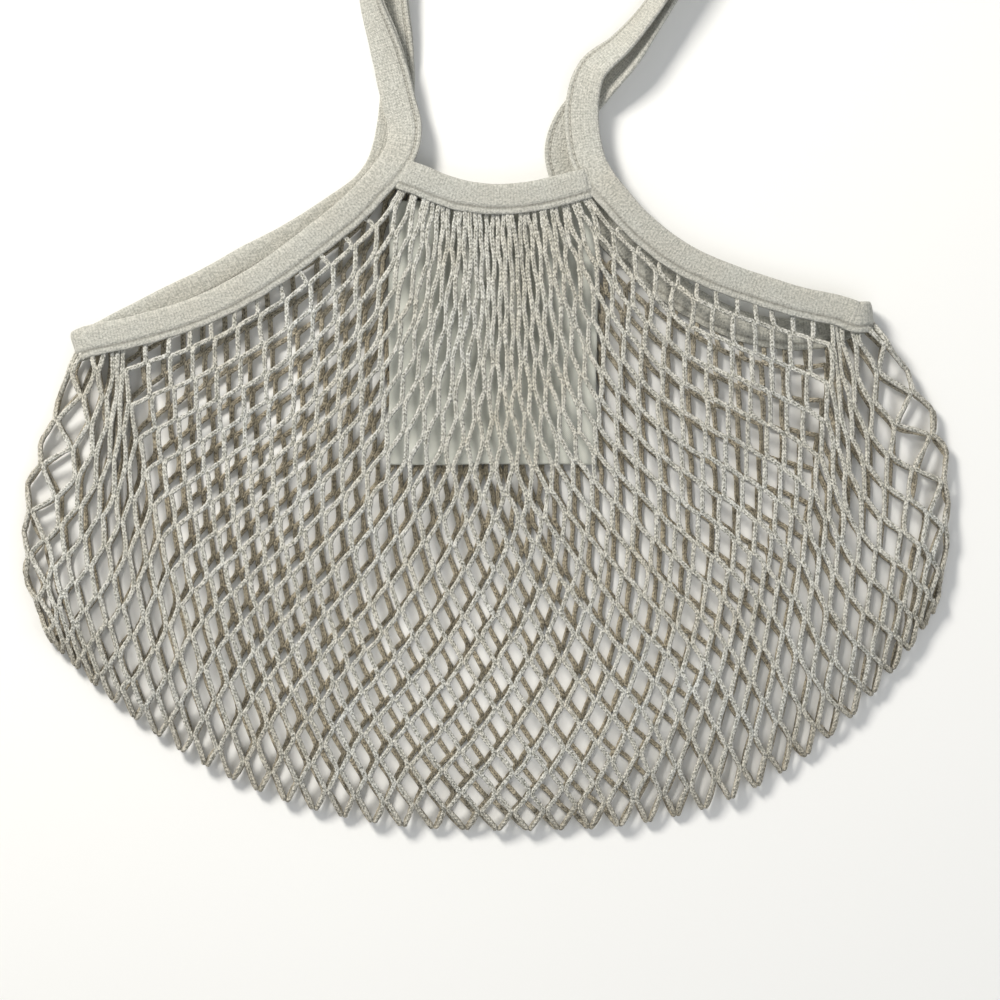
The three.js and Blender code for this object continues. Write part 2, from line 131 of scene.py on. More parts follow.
# Columns: x and y as BagSizes.place takes them, roll in degrees with the inner edge up,
# rise as a share of the layers' distance, bound 1 where the tape binds the net's edge.
FRONT_TAPE = np.array([
    [-0.872, -0.224, 0, 1, 1],
    [-0.765, -0.207, 0, 1, 1],
    [-0.636, -0.177, 0, 1, 1],
    [-0.508, -0.128, 0, 1, 1],
    [-0.379, -0.059, 0, 1, 1],
    [-0.304, -0.013, 0, 1, 1],
    [-0.255, 0.031, 0, 1, 1],
    [-0.222, 0.067, 2, 0.92, 0.6],
    [-0.203, 0.1, 4, 0.8, 0.1],
    [-0.198, 0.14, 6, 0.62, 0],
    [-0.211, 0.19, 8, 0.46, 0],
    [-0.229, 0.258, 14, 0.38, 0],
    [-0.246, 0.312, 34, 0.34, 0],
    [-0.27, 0.381, 58, 0.32, 0],
    [-0.286, 0.508, 58, 0.32, 0],
    [-0.276, 0.657, 45, 0.32, 0],
    [-0.21, 0.805, 28, 0.32, 0],
    [-0.086, 0.932, 10, 0.32, 0],
    [0.095, 0.993, 0, 0.32, 0],
    [0.286, 0.951, -10, 0.32, 0],
    [0.419, 0.835, -30, 0.32, 0],
    [0.471, 0.678, -48, 0.32, 0],
    [0.438, 0.525, -60, 0.32, 0],
    [0.341, 0.378, -62, 0.32, 0],
    [0.268, 0.299, -52, 0.34, 0],
    [0.204, 0.248, -32, 0.36, 0],
    [0.184, 0.191, -12, 0.4, 0],
    [0.184, 0.124, -6, 0.6, 0],
    [0.196, 0.075, -3, 0.84, 0.1],
    [0.221, 0.035, 0, 0.96, 0.7],
    [0.253, 0, 0, 1, 1],
    [0.306, -0.043, 0, 1, 1],
    [0.392, -0.092, 0, 1, 1],
    [0.478, -0.122, 0, 1, 1],
    [0.564, -0.144, 0, 1, 1],
    [0.649, -0.163, 0, 1, 1],
    [0.735, -0.177, 0, 1, 1],
    [0.769, -0.187, 0, 1, 1],
])
BACK_TAPE = np.array([
    [0.769, -0.187, 0, 0, 1],
    [0.71, -0.207, 0, 0, 1],
    [0.628, -0.212, 0, 0, 1],
    [0.531, -0.2, 0, 0, 1],
    [0.435, -0.168, 0, 0, 1],
    [0.349, -0.124, 0, 0, 1],
    [0.264, -0.068, 0, 0, 1],
    [0.21, -0.024, 0, 0, 1],
    [0.167, 0.02, 0, 0, 0.8],
    [0.144, 0.062, 0, 0, 0.1],
    [0.139, 0.1, 0, 0, 0],
    [0.153, 0.14, 0, 0, 0],
    [0.184, 0.183, -8, 0, 0],
    [0.229, 0.225, -34, 0, 0],
    [0.285, 0.276, -56, 0, 0],
    [0.364, 0.381, -60, 0, 0],
    [0.467, 0.538, -58, 0, 0],
    [0.51, 0.665, -46, 0, 0],
    [0.462, 0.809, -28, 0, 0],
    [0.333, 0.918, -10, 0, 0],
    [0.143, 0.958, 0, 0, 0],
    [-0.019, 0.91, 10, 0, 0],
    [-0.148, 0.8, 28, 0, 0],
    [-0.214, 0.657, 42, 0, 0],
    [-0.229, 0.508, 46, 0, 0],
    [-0.223, 0.381, 36, 0, 0],
    [-0.216, 0.305, 14, 0, 0],
    [-0.214, 0.219, 0, 0, 0],
    [-0.223, 0.133, 0, 0, 0],
    [-0.234, 0.095, 0, 0, 0.1],
    [-0.251, 0.061, 0, 0, 0.6],
    [-0.281, 0.027, 0, 0, 1],
    [-0.362, -0.021, 0, 0, 1],
    [-0.45, -0.062, 0, 0, 1],
    [-0.536, -0.095, 0, 0, 1],
    [-0.621, -0.13, 0, 0, 1],
    [-0.696, -0.157, 0, 0, 1],
    [-0.79, -0.192, 0, 0, 1],
    [-0.872, -0.224, 0, 0, 1],
])
CORNER_HEADING = {Side.LEFT: 200.0, Side.RIGHT: 5.0}

# Middle line of the two short bands, as shares like the tape's
RIM_ROWS = np.array([
    [-0.238, 0.068],
    [-0.201, 0.048],
    [-0.165, 0.036],
    [-0.122, 0.02],
    [-0.079, 0.008],
    [-0.036, 0.002],
    [0, 0],
    [0.045, 0.002],
    [0.092, 0.008],
    [0.135, 0.017],
    [0.178, 0.027],
    [0.235, 0.04],
])

# Steps down the net: left fold x and y, middle y, right fold x and y, and how square the
# sag is on the left and on the right. Above CORNER_STEP the side bands give the ends.
NET_ROWS = np.array([
    [0, 0, -0.022, 0, 0, 2, 2],
    [0, 0, -0.144, 0, 0, 2, 2],
    [0, 0, -0.266, 0, 0, 2, 2],
    [0, 0, -0.388, 0, 0, 2, 2],
    [-0.9, -0.247, -0.51, 0.812, -0.211, 2.1, 2.2],
    [-0.966, -0.352, -0.631, 0.919, -0.301, 2.2, 2.4],
    [-1.014, -0.464, -0.753, 0.971, -0.417, 2.3, 2.6],
    [-1.018, -0.583, -0.875, 0.969, -0.539, 2.4, 2.8],
    [-0.96, -0.697, -0.997, 0.941, -0.65, 2.5, 3.1],
])
CORNER_STEP = 4
BAND_END = 0.9

# Folds of the front layer: x, y, half width and half length as shares, depth in metres
DENTS = np.array([
    [-0.65, -0.37, 0.2, 0.17, 4.2 * MM],
    [0.005, -0.68, 0.5, 0.2, 2.4 * MM],
    [0.55, -0.45, 0.22, 0.17, 2.4 * MM],
])


def unit(v: Array) -> Array:
    """Return vectors scaled to length one."""
    return v / np.maximum(np.linalg.norm(v, axis=-1, keepdims=True), 1e-12)


def smoothstep(x: Array, low: float, high: float) -> Array:
    """Return 0 below low, 1 above high, and a smooth cubic step between."""
    t = np.clip((np.asarray(x, float) - low) / (high - low), 0, 1)
    return t * t * (3 - 2 * t)


def curve_through(points: Array, places: Array) -> Array:
    """Centripetal Catmull-Rom curve: each span is a cubic whose end slopes come from
    its neighbours, weighed by the square root of their distances.

    Args:
        points: Rows that the curve passes through.
        places: Row numbers, with fractions, where it is wanted.

    Returns:
        One point for each place.
    """
    padded = np.concatenate([[2 * points[0] - points[1]], points, [2 * points[-1] - points[-2]]])
    gaps = np.sqrt(np.linalg.norm(np.diff(padded, axis=0), axis=1))[:, None]
    span = np.clip(places.astype(int), 0, len(points) - 2)
    w = (places - span)[:, None]
    a, b, c, d = (padded[span + k] for k in range(4))
    g0, g1, g2 = (gaps[span + k] for k in range(3))
    start = ((b - a) / g0 - (c - a) / (g0 + g1) + (c - b) / g1) * g1
    end = ((c - b) / g1 - (d - b) / (g1 + g2) + (d - c) / g2) * g1
    two = -3 * b + 3 * c - 2 * start - end
    three = 2 * b - 2 * c + start + end
    return b + start * w + two * w**2 + three * w**3


def lengths_along(points: Array) -> Array:
    """Return the distance run at each point of a path."""
    return np.concatenate([[0], np.cumsum(np.linalg.norm(np.diff(points, axis=0), axis=1))])


def even_places(points: Array, step: float) -> Array:
    """Return row places along a curve through points, a step of length apart."""
    fine = np.linspace(0, len(points) - 1, 24 * len(points))
    run = lengths_along(curve_through(points, fine))
    count = max(2, round(run[-1] / step))
    return np.interp(np.linspace(0, run[-1], count + 1), run, fine)


def eased(values: Array, reach: int, closed: bool) -> Array:
    """Average each row with its neighbours, round the loop or up to the ends."""
    mode = "wrap" if closed else "edge"
    padded = np.pad(values, [(reach, reach)] + [(0, 0)] * (values.ndim - 1), mode=mode)
    total = np.cumsum(np.concatenate([np.zeros_like(padded[:1]), padded]), axis=0)
    width = 2 * reach + 1
    return (total[width:] - total[:-width]) / width


def soft_noise(x: Array, seed: int, period: float) -> Array:
    """Smooth wandering value from -1 to 1: a sum of sines with seeded phases."""
    rng = np.random.default_rng(seed)
    total = np.zeros_like(np.asarray(x, float))
    for k in range(1, 6):
        total += np.sin(2 * math.pi * x * (0.6 + 0.55 * k) / period + rng.uniform(0, 2 * math.pi)) / k
    return total / 2.2


def plane_noise(xy: Array, seed: int, period: float) -> Array:
    """Smooth wandering value from -1 to 1 over the plane, from seeded plane waves."""
    rng = np.random.default_rng(seed)
    total = np.zeros(xy.shape[:-1])
    for k in range(7):
        angle = rng.uniform(0, 2 * math.pi)
        wave = rng.uniform(0.7, 1.9) * 2 * math.pi / period
        way = xy[..., 0] * math.cos(angle) + xy[..., 1] * math.sin(angle)
        total += np.sin(wave * way + rng.uniform(0, 2 * math.pi))
    return total / 3.2


def new_piece(name: str, points: Array, faces: Array, uv: Array | None = None) -> bpy.types.Object:
    """Put arrays into a new mesh object at the origin.

    Args:
        name: The piece's name.
        points: Vertices, one row each.
        faces: Quads or triangles as rows of vertex numbers.
        uv: One u, v row for each face corner, in the faces' order.

    Returns:
        The new object, shaded smooth.
    """
    mesh = bpy.data.meshes.new(name)
    size = faces.shape[1]
    mesh.vertices.add(len(points))
    mesh.vertices.foreach_set("co", np.ascontiguousarray(points, dtype=np.float32).ravel())
    mesh.loops.add(faces.size)
    mesh.loops.foreach_set("vertex_index", faces.astype(np.int32).ravel())
    mesh.polygons.add(len(faces))
    mesh.polygons.foreach_set("loop_start", np.arange(0, faces.size, size, dtype=np.int32))
    mesh.polygons.foreach_set("use_smooth", np.ones(len(faces), dtype=bool))
    if uv is not None:
        layer = mesh.uv_layers.new(name="strand")
        layer.data.foreach_set("uv", uv.astype(np.float32).ravel())
    mesh.update(calc_edges=True)
    mesh.validate()
    piece = bpy.data.objects.new(name, mesh)
    bpy.context.scene.collection.objects.link(piece)
    return piece


@dataclass
class Path:
    """A framed path: its middle line and the two directions of its section."""

    middle: Array
    across: Array
    out: Array
    bound: Array
    closed: bool = False

    @property
    def run(self) -> Array:
        """Distance run at each station."""
        return lengths_along(self.middle)

    def part(self, keep: Array) -> "Path":
        """Return the open path of the stations that a mask keeps."""
        return Path(self.middle[keep], self.across[keep], self.out[keep], self.bound[keep])

    def turned(self) -> "Path":
        """Return the same path run the other way."""
        return Path(self.middle[::-1], self.across[::-1], -self.out[::-1], self.bound[::-1])

    def at(self, share: Array) -> tuple[Array, Array]:
        """Return the middle and the across direction at shares of the path's run."""
        run = self.run
        want = np.clip(share, 0, 1) * run[-1]
        middle = np.stack([np.interp(want, run, self.middle[:, k]) for k in range(3)], axis=-1)
        across = np.stack([np.interp(want, run, self.across[:, k]) for k in range(3)], axis=-1)
        return middle, unit(across)


def sweep(path: Path, section: Array) -> tuple[Array, Array, Array]:
    """Carry a section along a path: vertex (i, k) = middle + w across + h out.

    Args:
        path: The framed path.
        section: Offsets of shape (stations, section points, 2), as w and h.

    Returns:
        Vertices, quads and one u, v row for each face corner, in metres.
    """
    count, size = section.shape[:2]
    points = (path.middle[:, None] + section[..., :1] * path.across[:, None]
              + section[..., 1:] * path.out[:, None])
    spans = count if path.closed else count - 1
    i = np.arange(spans)[:, None]
    k = np.arange(size)[None]
    j = (i + 1) % count
    m = (k + 1) % size
    quads = np.stack([i * size + k, i * size + m, j * size + m, j * size + k], axis=-1)
    run = np.append(path.run, path.run[-1] + np.linalg.norm(path.middle[0] - path.middle[-1]))
    around = np.linalg.norm(np.diff(section, axis=1, append=section[:, :1]), axis=-1)
    around = np.concatenate([[0], np.cumsum(around.mean(axis=0))])
    u = np.broadcast_to(np.stack([run[i], run[i], run[i + 1], run[i + 1]], axis=-1), quads.shape)
    corners = np.stack([around[k], around[k + 1], around[k + 1], around[k]], axis=-1)
    v = np.broadcast_to(corners, quads.shape)
    uv = np.stack([u, v], axis=-1)
    return points.reshape(-1, 3), quads.reshape(-1, 4), uv.reshape(-1, 2)


def end_caps(count: int, size: int) -> Array:
    """Return quads that close both ends of an open sweep, pairing the section's halves."""
    k = np.arange(size // 2 - 1)
    low = np.stack([k, size - 1 - k, size - 2 - k, k + 1], axis=-1)
    return np.concatenate([low[:, ::-1], low + (count - 1) * size])


@dataclass
class TapeRoute:
    """Route of the long tape: band, handle, band and corner turn, twice over."""

    step: float = 1.5 * MM
    ease: float = 22 * MM

    def half(self, rows: Array, inner: int) -> tuple[Array, Array, Array, Array]:
        """Lay out one half of the loop in plan.

        Args:
            rows: The half's table.
            inner: 1 if the net lies to the right of the run, -1 to the left.

        Returns:
            Middles, across directions, bound shares and rises.
        """
        plan = BAG.place(rows[:, 0], rows[:, 1])
        places = even_places(plan, self.step)
        middle = np.column_stack([curve_through(plan, places), np.zeros(len(places))])
        number = np.arange(len(rows))
        lean, rise, bound = (np.interp(places, number, rows[:, k]) for k in (2, 3, 4))
        lean = np.radians(lean)
        ahead = unit(np.gradient(middle, axis=0))
        across = inner * np.column_stack([ahead[:, 1], -ahead[:, 0], np.zeros(len(places))])
        across = across * np.cos(lean)[:, None]
        across[:, 2] = np.sin(lean)
        return middle, across, bound, rise

    def corner(self, side: Side, up: int) -> tuple[Array, Array, Array, Array]:
        """Turn the tape over from one layer to the other, on a half circle."""
        row = FRONT_TAPE[-1] if side is Side.RIGHT else FRONT_TAPE[0]
        angle = math.radians(CORNER_HEADING[side])
        heading = np.array([math.cos(angle), math.sin(angle), 0])
        radius = BAG.layer_rise / 2
        steps = round(math.pi * radius / self.step)
        turn = up * math.pi * (np.arange(1, steps) / steps - 0.5)
        start = np.append(BAG.place(row[0], row[1]), BAG.back_band + radius)
        middle = start + radius * np.cos(turn)[:, None] * heading
        middle[:, 2] += radius * np.sin(turn)
        across = -up * np.array([heading[1], -heading[0], 0])
        shape = (len(turn), 1)
        return middle, np.tile(across, shape), np.ones(len(turn)), np.full(len(turn), np.nan)

    def loop(self) -> tuple[Path, int, int]:
        """Join the halves and corners, and set leaning stretches down on the floor.

        Returns:
            The closed path, and the numbers of the first back and last back station.
        """
        parts = [
            self.half(FRONT_TAPE, 1),
            self.corner(Side.RIGHT, -1),
            self.half(BACK_TAPE, -1),
            self.corner(Side.LEFT, 1),
        ]
        middle, across, bound, rise = (np.concatenate([part[k] for part in parts]) for k in range(4))
        reach = round(self.ease / self.step)
        across = unit(eased(across, reach, True))
        bound = eased(bound, reach // 2, True)
        laid = ~np.isnan(rise)
        soft = eased(np.where(laid, rise, 0.5), reach // 3, True)
        soft = np.where(np.minimum(rise, 1 - rise) < 1e-6, rise, soft)
        for _ in range(3):
            ahead = unit(np.roll(middle, -1, axis=0) - np.roll(middle, 1, axis=0))
            flat = unit(across - np.sum(across * ahead, axis=1, keepdims=True) * ahead)
            out = np.cross(ahead, flat)
            wide = (BAG.strap_width + (BAG.band_width - BAG.strap_width) * bound) / 2
            high = (BAG.strap_height + (BAG.band_height - BAG.strap_height) * bound) / 2
            low = np.abs(flat[:, 2]) * wide + np.abs(out[:, 2]) * high
            middle[laid, 2] = (soft * BAG.layer_rise + low)[laid]
        first_back = len(parts[0][0]) + len(parts[1][0])
        return Path(middle, flat, out, bound, True), first_back, first_back + len(parts[2][0])


@dataclass
class BagFrame:
    """Where every band lies, for the pieces that meet them."""

    route: TapeRoute = field(default_factory=TapeRoute)

    def __post_init__(self) -> None:
        """Work out the loop, its four bindings and the two short bands."""
        self.loop, first, last = self.route.loop()
        number = np.arange(len(self.loop.middle))
        front = number < first - round(math.pi * BAG.layer_rise / 2 / self.route.step) + 1
        back = (number >= first) & (number < last)
        self.halves = {Layer.FRONT: self.loop.part(front), Layer.BACK: self.loop.part(back)}
        self.bindings: dict[tuple[Layer, Side], Path] = {}
        for layer, half in self.halves.items():
            for side in Side:
                part = half.part((half.bound > 0.985) & (half.middle[:, 0] * side.value > 0))
                outward = abs(part.middle[-1, 0]) > abs(part.middle[0, 0])
                self.bindings[layer, side] = part if outward else part.turned()
        self.corners = {
            Side.RIGHT: (first + len(self.halves[Layer.FRONT].middle)) // 2,
            Side.LEFT: (last + len(number)) // 2,
        }
        self.rims = {
            Layer.FRONT: self.rim_path(BAG.front_band),
            Layer.BACK: self.rim_path(BAG.back_band),
        }
        self.clear = {layer: self.clear_shares(layer) for layer in Layer}

    def rim_path(self, height: float) -> Path:
        """Lay out one short band's path at a height."""
        plan = BAG.place(RIM_ROWS[:, 0], RIM_ROWS[:, 1])
        places = even_places(plan, self.route.step)
        middle = np.column_stack([curve_through(plan, places), np.full(len(places), height)])
        ahead = unit(np.gradient(middle, axis=0))
        across = np.column_stack([ahead[:, 1], -ahead[:, 0], np.zeros(len(places))])
        return Path(middle, across, np.cross(ahead, across), np.ones(len(places)))

    def clear_shares(self, layer: Layer) -> tuple[float, float]:
        """Return the shares of a short band's run that the tape leaves uncovered."""
        shares = np.linspace(0, 1, 161)
        middle, _ = self.rims[layer].at(shares)
        near = self.distance(middle, self.halves[layer]) < BAG.band_width / 2
        half = len(shares) // 2
        first = np.max(np.flatnonzero(near[:half]), initial=0)
        last = half + np.min(np.flatnonzero(near[half:]), initial=half)
        return shares[first], shares[min(last, len(shares) - 1)]

    @staticmethod
    def distance(places: Array, path: Path) -> Array:
        """Return the distance in plan from places to the nearest station of a path."""
        flat = np.asarray(places)[..., None, :2] - path.middle[:, :2]
        return np.sqrt(np.min(np.sum(flat**2, axis=-1), axis=-1))

    def band_distance(self, places: Array, layer: Layer) -> Array:
        """Return the distance in plan from places to the nearest band's edge."""
        tape = self.distance(places, self.halves[layer])
        rim = self.distance(places, self.rims[layer])
        return np.minimum(tape, rim) - BAG.band_width / 2

    def side_edge(self, layer: Layer, side: Side, share: Array, inside: float) -> Array:
        """Return places along a side binding's open edge, some way inside it."""
        middle, across = self.bindings[layer, side].at(share)
        return middle + across * (BAG.band_width / 2 - inside)

    def mouth_edge(self, layer: Layer, share: Array, inside: float) -> Array:
        """Return places along a short band's open edge; share runs over its clear part."""
        low, high = self.clear[layer]
        middle, across = self.rims[layer].at(low + (high - low) * np.asarray(share))
        return middle + across * (BAG.band_width / 2 - inside)

    def corner_edge(self, side: Side, inside: float) -> Array:
        """Return the place at the open edge in the middle of a corner's turn."""
        i = self.corners[side]
        return self.loop.middle[i] + self.loop.across[i] * (BAG.band_width / 2 - inside)

    def net_height(self, places: Array, layer: Layer) -> Array:
        """Return the height of a layer of net at plan places."""
        away = smoothstep(self.band_distance(places, layer), 20 * MM, 56 * MM)
        if layer is Layer.BACK:
            return BAG.back_band + (BAG.back_net - BAG.back_band) * away
        dented = np.zeros(len(places))
        for x, y, wide, long, depth in DENTS:
            middle = BAG.place(x, y)
            over = (places[:, 0] - middle[0]) / (wide * BAG.width / 2)
            down = (places[:, 1] - middle[1]) / (long * BAG.depth)
            dented += depth * np.exp(-over**2 - down**2)
        return BAG.front_band - away * dented


@dataclass
class NetLayout:
    """Nodes of the net at its real gauge, on doubled columns and half rows of cells.

    A node stands where column + row is even. The mouth's row is narrow, each row down
    to the corners' row is one column wider, and from there on the folds are the ends.
    """

    frame: BagFrame
    columns: int = 36
    rows: int = 26
    mouth: int = 18
    corner_row: int = 12
    bar: float = 12.9 * MM
    closest: float = 4.9 * MM
    tuck: float = 6 * MM
    drift: float = 3.2 * MM
    jitter: float = 1.2 * MM
    pleat: float = 3.4 * MM
    back_shift: tuple[float, float] = (-5.2 * MM, -6.4 * MM)
    short_rows: int = 7
    shorter: float = 0.34
    fold_row: float = 0.55
    side_crowding: float = 0.3
    side_pull: float = 0.5
    mouth_even: float = 0.62
    even_rows: tuple[int, int] = (4, 17)
    pull: float = 0.9
    push: float = 0.4
    easing: float = 0.12
    rounds: int = 240
    ease_every: int = 6

    def __post_init__(self) -> None:
        """Place every node of both layers and let the cords' lengths settle them."""
        self.column = np.broadcast_to(np.arange(-self.columns, self.columns + 1),
                                      (self.rows + 1, 2 * self.columns + 1))
        self.row = np.broadcast_to(np.arange(self.rows + 1)[:, None], self.column.shape)
        self.reach = np.where(self.row < self.corner_row, self.mouth + self.row, self.columns)
        self.nodes = ((self.column + self.row) % 2 == 0) & (np.abs(self.column) <= self.reach)
        sides = (np.abs(self.column) == self.columns) & (self.row >= self.corner_row)
        self.fold = self.nodes & (sides | (self.row == self.rows))
        edge = (np.abs(self.column) == self.reach) & (self.row < self.corner_row)
        corner = (self.row == self.corner_row) & (np.abs(self.column) >= self.corner_column)
        self.held = self.nodes & (edge | corner | (self.row == 0) | self.fold)
        self.places = {layer: self.first_places(layer) for layer in Layer}
        self.settle()
        for layer in Layer:
            self.lift(layer)

    @property
    def corner_column(self) -> int:
        """Return the doubled column at which the side bands end."""
        return self.mouth + self.corner_row

    def table_place(self) -> Array:
        """Return each row's place in NET_ROWS; the last rows before the fold are short."""
        below = np.arange(self.corner_row, self.rows)
        depth = 1 - self.shorter * smoothstep(below, self.rows - self.short_rows, self.rows)
        depth[-1] *= self.fold_row
        down = np.concatenate([[0], np.cumsum(depth)]) / np.sum(depth)
        above = np.arange(self.corner_row) * CORNER_STEP / self.corner_row
        return np.concatenate([above, CORNER_STEP + down * (len(NET_ROWS) - 1 - CORNER_STEP)])

    def first_places(self, layer: Layer) -> Array:
        """Lay out one layer: each row sags between its ends as 1 - share^full.

        Near the mouth the middle columns stand closer, as a share + (1 - a) share^3.

        Args:
            layer: The layer to lay out.

        Returns:
            Places of shape (rows + 1, columns, 3), with rubbish where no node stands.
        """
        column = self.column[0]
        places = self.table_place()
        grid = np.zeros((*self.column.shape, 3))
        for row, place in enumerate(places):
            left_x, left_y, middle_y, right_x, right_y, left_full, right_full = (
                np.interp(place, np.arange(len(NET_ROWS)), NET_ROWS[:, k]) for k in range(7))
            ends = np.array([
                [left_x * BAG.width / 2, left_y * BAG.depth],
                [right_x * BAG.width / 2, right_y * BAG.depth],
            ])
            last = min(self.mouth + row, self.columns)
            if row <= self.corner_row:
                along = BAND_END * row / self.corner_row
                ends = np.array([self.frame.side_edge(layer, side, along, self.tuck)[:2] for side in Side])
            share = np.clip(np.abs(column) / last, 0, 1)
            crowded = smoothstep(row, self.corner_row - 3, self.corner_row + 3)
            share = 1 - (1 - share) ** (1 + self.side_crowding * crowded)
            even = self.mouth_even + (1 - self.mouth_even) * smoothstep(row, *self.even_rows)
            end = np.where(column[:, None] < 0, ends[0], ends[1])
            sag = 1 - share ** np.where(column < 0, left_full, right_full)
            grid[row, :, 0] = end[:, 0] * (even * share + (1 - even) * share**3)
            grid[row, :, 1] = end[:, 1] + (middle_y * BAG.depth - end[:, 1]) * sag
        mouth = (column / self.mouth + 1) / 2
        grid[0, :, :2] = self.frame.mouth_edge(layer, mouth, self.tuck)[:, :2]
        self.bunch_corners(grid, layer)
        return grid

    def bunch_corners(self, grid: Array, layer: Layer) -> None:
        """Bunch the corners' row of cords from the band's end round the turn."""
        count = (self.columns - self.corner_column) // 2
        for side in Side:
            turn = self.frame.corner_edge(side, self.tuck)
            for step in range(count + 1):
                share = step / count
                along = BAND_END + (1 - BAND_END) * share
                place = self.frame.side_edge(layer, side, along, self.tuck)
                column = self.columns + side.value * (self.corner_column + 2 * step)
                grid[self.corner_row, column] = place + (turn - place) * share**2

    def settle(self) -> None:
        """Let the nodes move until no cord is longer than its length.

        Each round shortens bars that are too long and spreads neighbours in a row
        that are too close, half at each end, and eases every node a little towards
        the mean of its four neighbours. Held nodes stay. Slow waves, pleats in the
        side regions and a small jitter set the start, and the back layer is shifted.
        """
        free = (self.nodes & ~self.held)[..., None]
        inside = np.minimum(self.reach - np.abs(self.column), np.minimum(self.row, self.rows - self.row))
        inside = smoothstep(inside, 0, 5)[..., None]
        outer = smoothstep(np.abs(self.column) / self.reach, 0.45, 0.75)
        for seed, layer in enumerate(Layer):
            plan = self.places[layer][..., :2]
            drift = np.stack([plane_noise(plan, 40 + 7 * seed + k, 0.15) for k in range(2)], axis=-1)
            jitter = np.stack([plane_noise(plan, 60 + 7 * seed + k, 0.021) for k in range(2)], axis=-1)
            wave = np.sin(2 * math.pi * self.column / 8.5 + 2.2 * plane_noise(plan, 80 + seed, 0.12))
            plan += free * (self.drift * drift + self.jitter * jitter)
            plan[..., 0] += free[..., 0] * self.pleat * outer * wave
            if layer is Layer.BACK:
                plan += free * inside * np.array(self.back_shift)
            for k in range(self.rounds):
                self.shorten(plan)
                self.spread(plan)
                if k % self.ease_every == 0:
                    self.ease(plan)
            self.shorten(plan)
        shared = (self.places[Layer.FRONT] + self.places[Layer.BACK]) / 2
        for layer in Layer:
            self.places[layer][self.fold] = shared[self.fold]
            self.gather_sides(self.places[layer])

    def gather_sides(self, grid: Array) -> None:
        """Draw the nodes next to the side folds out, so that cords run along the folds."""
        rows = np.arange(self.corner_row + 1, self.rows)
        for fold, inner in ((0, 1), (-1, -2)):
            for row in rows[self.nodes[rows, inner]]:
                edge = (grid[row - 1, fold] + grid[row + 1, fold]) / 2
                if self.nodes[row - 1, fold] and self.nodes[row + 1, fold]:
                    grid[row, inner, :2] += self.side_pull * (edge - grid[row, inner])[:2]

    def shorten(self, plan: Array) -> None:
        """Pull in each bar that is longer than its cord, along both diagonals."""
        for upper, lower in (
            (np.s_[:-1, :-1], np.s_[1:, 1:]),
            (np.s_[:-1, 1:], np.s_[1:, :-1]),
        ):
            both = self.nodes[upper] & self.nodes[lower]
            gap = plan[lower] - plan[upper]
            long = np.linalg.norm(gap, axis=-1)
            over = np.maximum(long - self.bar, 0) / np.maximum(long, 1e-9) * both
            up, low = self.held[upper], self.held[lower]
            move_up = over * np.where(up, 0, np.where(low, self.pull, self.pull / 2))
            move_low = over * np.where(low, 0, np.where(up, self.pull, self.pull / 2))
            plan[upper] += gap * move_up[..., None]
            plan[lower] -= gap * move_low[..., None]

    def spread(self, plan: Array) -> None:
        """Push apart neighbours in a row that are closer than the cords allow."""
        left, right = np.s_[:, :-2], np.s_[:, 2:]
        gap = plan[right] - plan[left]
        long = np.linalg.norm(gap, axis=-1)
        under = np.maximum(self.closest - long, 0) / np.maximum(long, 1e-9)
        give = self.push * (under * self.nodes[left] * self.nodes[right])[..., None] * gap
        plan[left] -= give * ~self.held[left][..., None]
        plan[right] += give * ~self.held[right][..., None]

    def ease(self, plan: Array) -> None:
        """Move free nodes a little towards the mean of their diagonal neighbours."""
        total = np.zeros_like(plan)
        count = np.zeros(plan.shape[:2])
        padded = np.pad(np.where(self.nodes[..., None], plan, 0), [(1, 1), (1, 1), (0, 0)])
        there = np.pad(self.nodes.astype(float), 1)
        for down in (0, 2):
            for over in (0, 2):
                pick = np.s_[down:down + plan.shape[0], over:over + plan.shape[1]]
                total += padded[pick]
                count += there[pick]
        mean = total / np.maximum(count, 1)[..., None]
        free = (self.nodes & ~self.held & (count == 4))[..., None]
        plan += self.easing * free * (mean - plan)

    def lift(self, layer: Layer) -> None:
        """Give a layer's nodes their heights, with gathers by the bands and ripples."""
        grid = self.places[layer]
        flat = grid[self.nodes]
        away = self.frame.band_distance(flat, layer)
        height = self.frame.net_height(flat, layer)
        near = smoothstep(away, -1 * MM, 9 * MM) * (1 - smoothstep(away, 18 * MM, 60 * MM))
        pleat = np.sin(2 * math.pi * self.column[self.nodes] / 7 + 1.6 * plane_noise(flat[:, :2], 5, 0.07))
        ripple = plane_noise(flat[:, :2], 17 if layer is Layer.FRONT else 18, 0.045)
        clear = smoothstep(away, 4 * MM, 30 * MM)
        if layer is Layer.FRONT:
            height += 1.6 * MM * near * pleat + 1.1 * MM * ripple * clear
        else:
            height += 0.7 * MM * near * np.abs(pleat) + 0.3 * MM * np.abs(ripple) * clear
        low = 4.2 * MM + 1.1 * MM * plane_noise(flat[:, :2], 23, 0.06)
        steps = np.minimum(self.columns - np.abs(self.column), self.rows - self.row)[self.nodes]
        below = self.row[self.nodes] >= self.corner_row
        by_band = smoothstep(self.frame.band_distance(flat, Layer.BACK), 0, 25 * MM)
        share = np.exp(-((steps / 2.4) ** 2)) * by_band * below
        height = height + (low + (height - low) * 0.3 * (steps > 0) - height) * share
        fold = self.fold[self.nodes]
        height = np.where(fold, BAG.fold * (1 - by_band) + low * by_band, height)
        grid[..., 2][self.nodes] = height


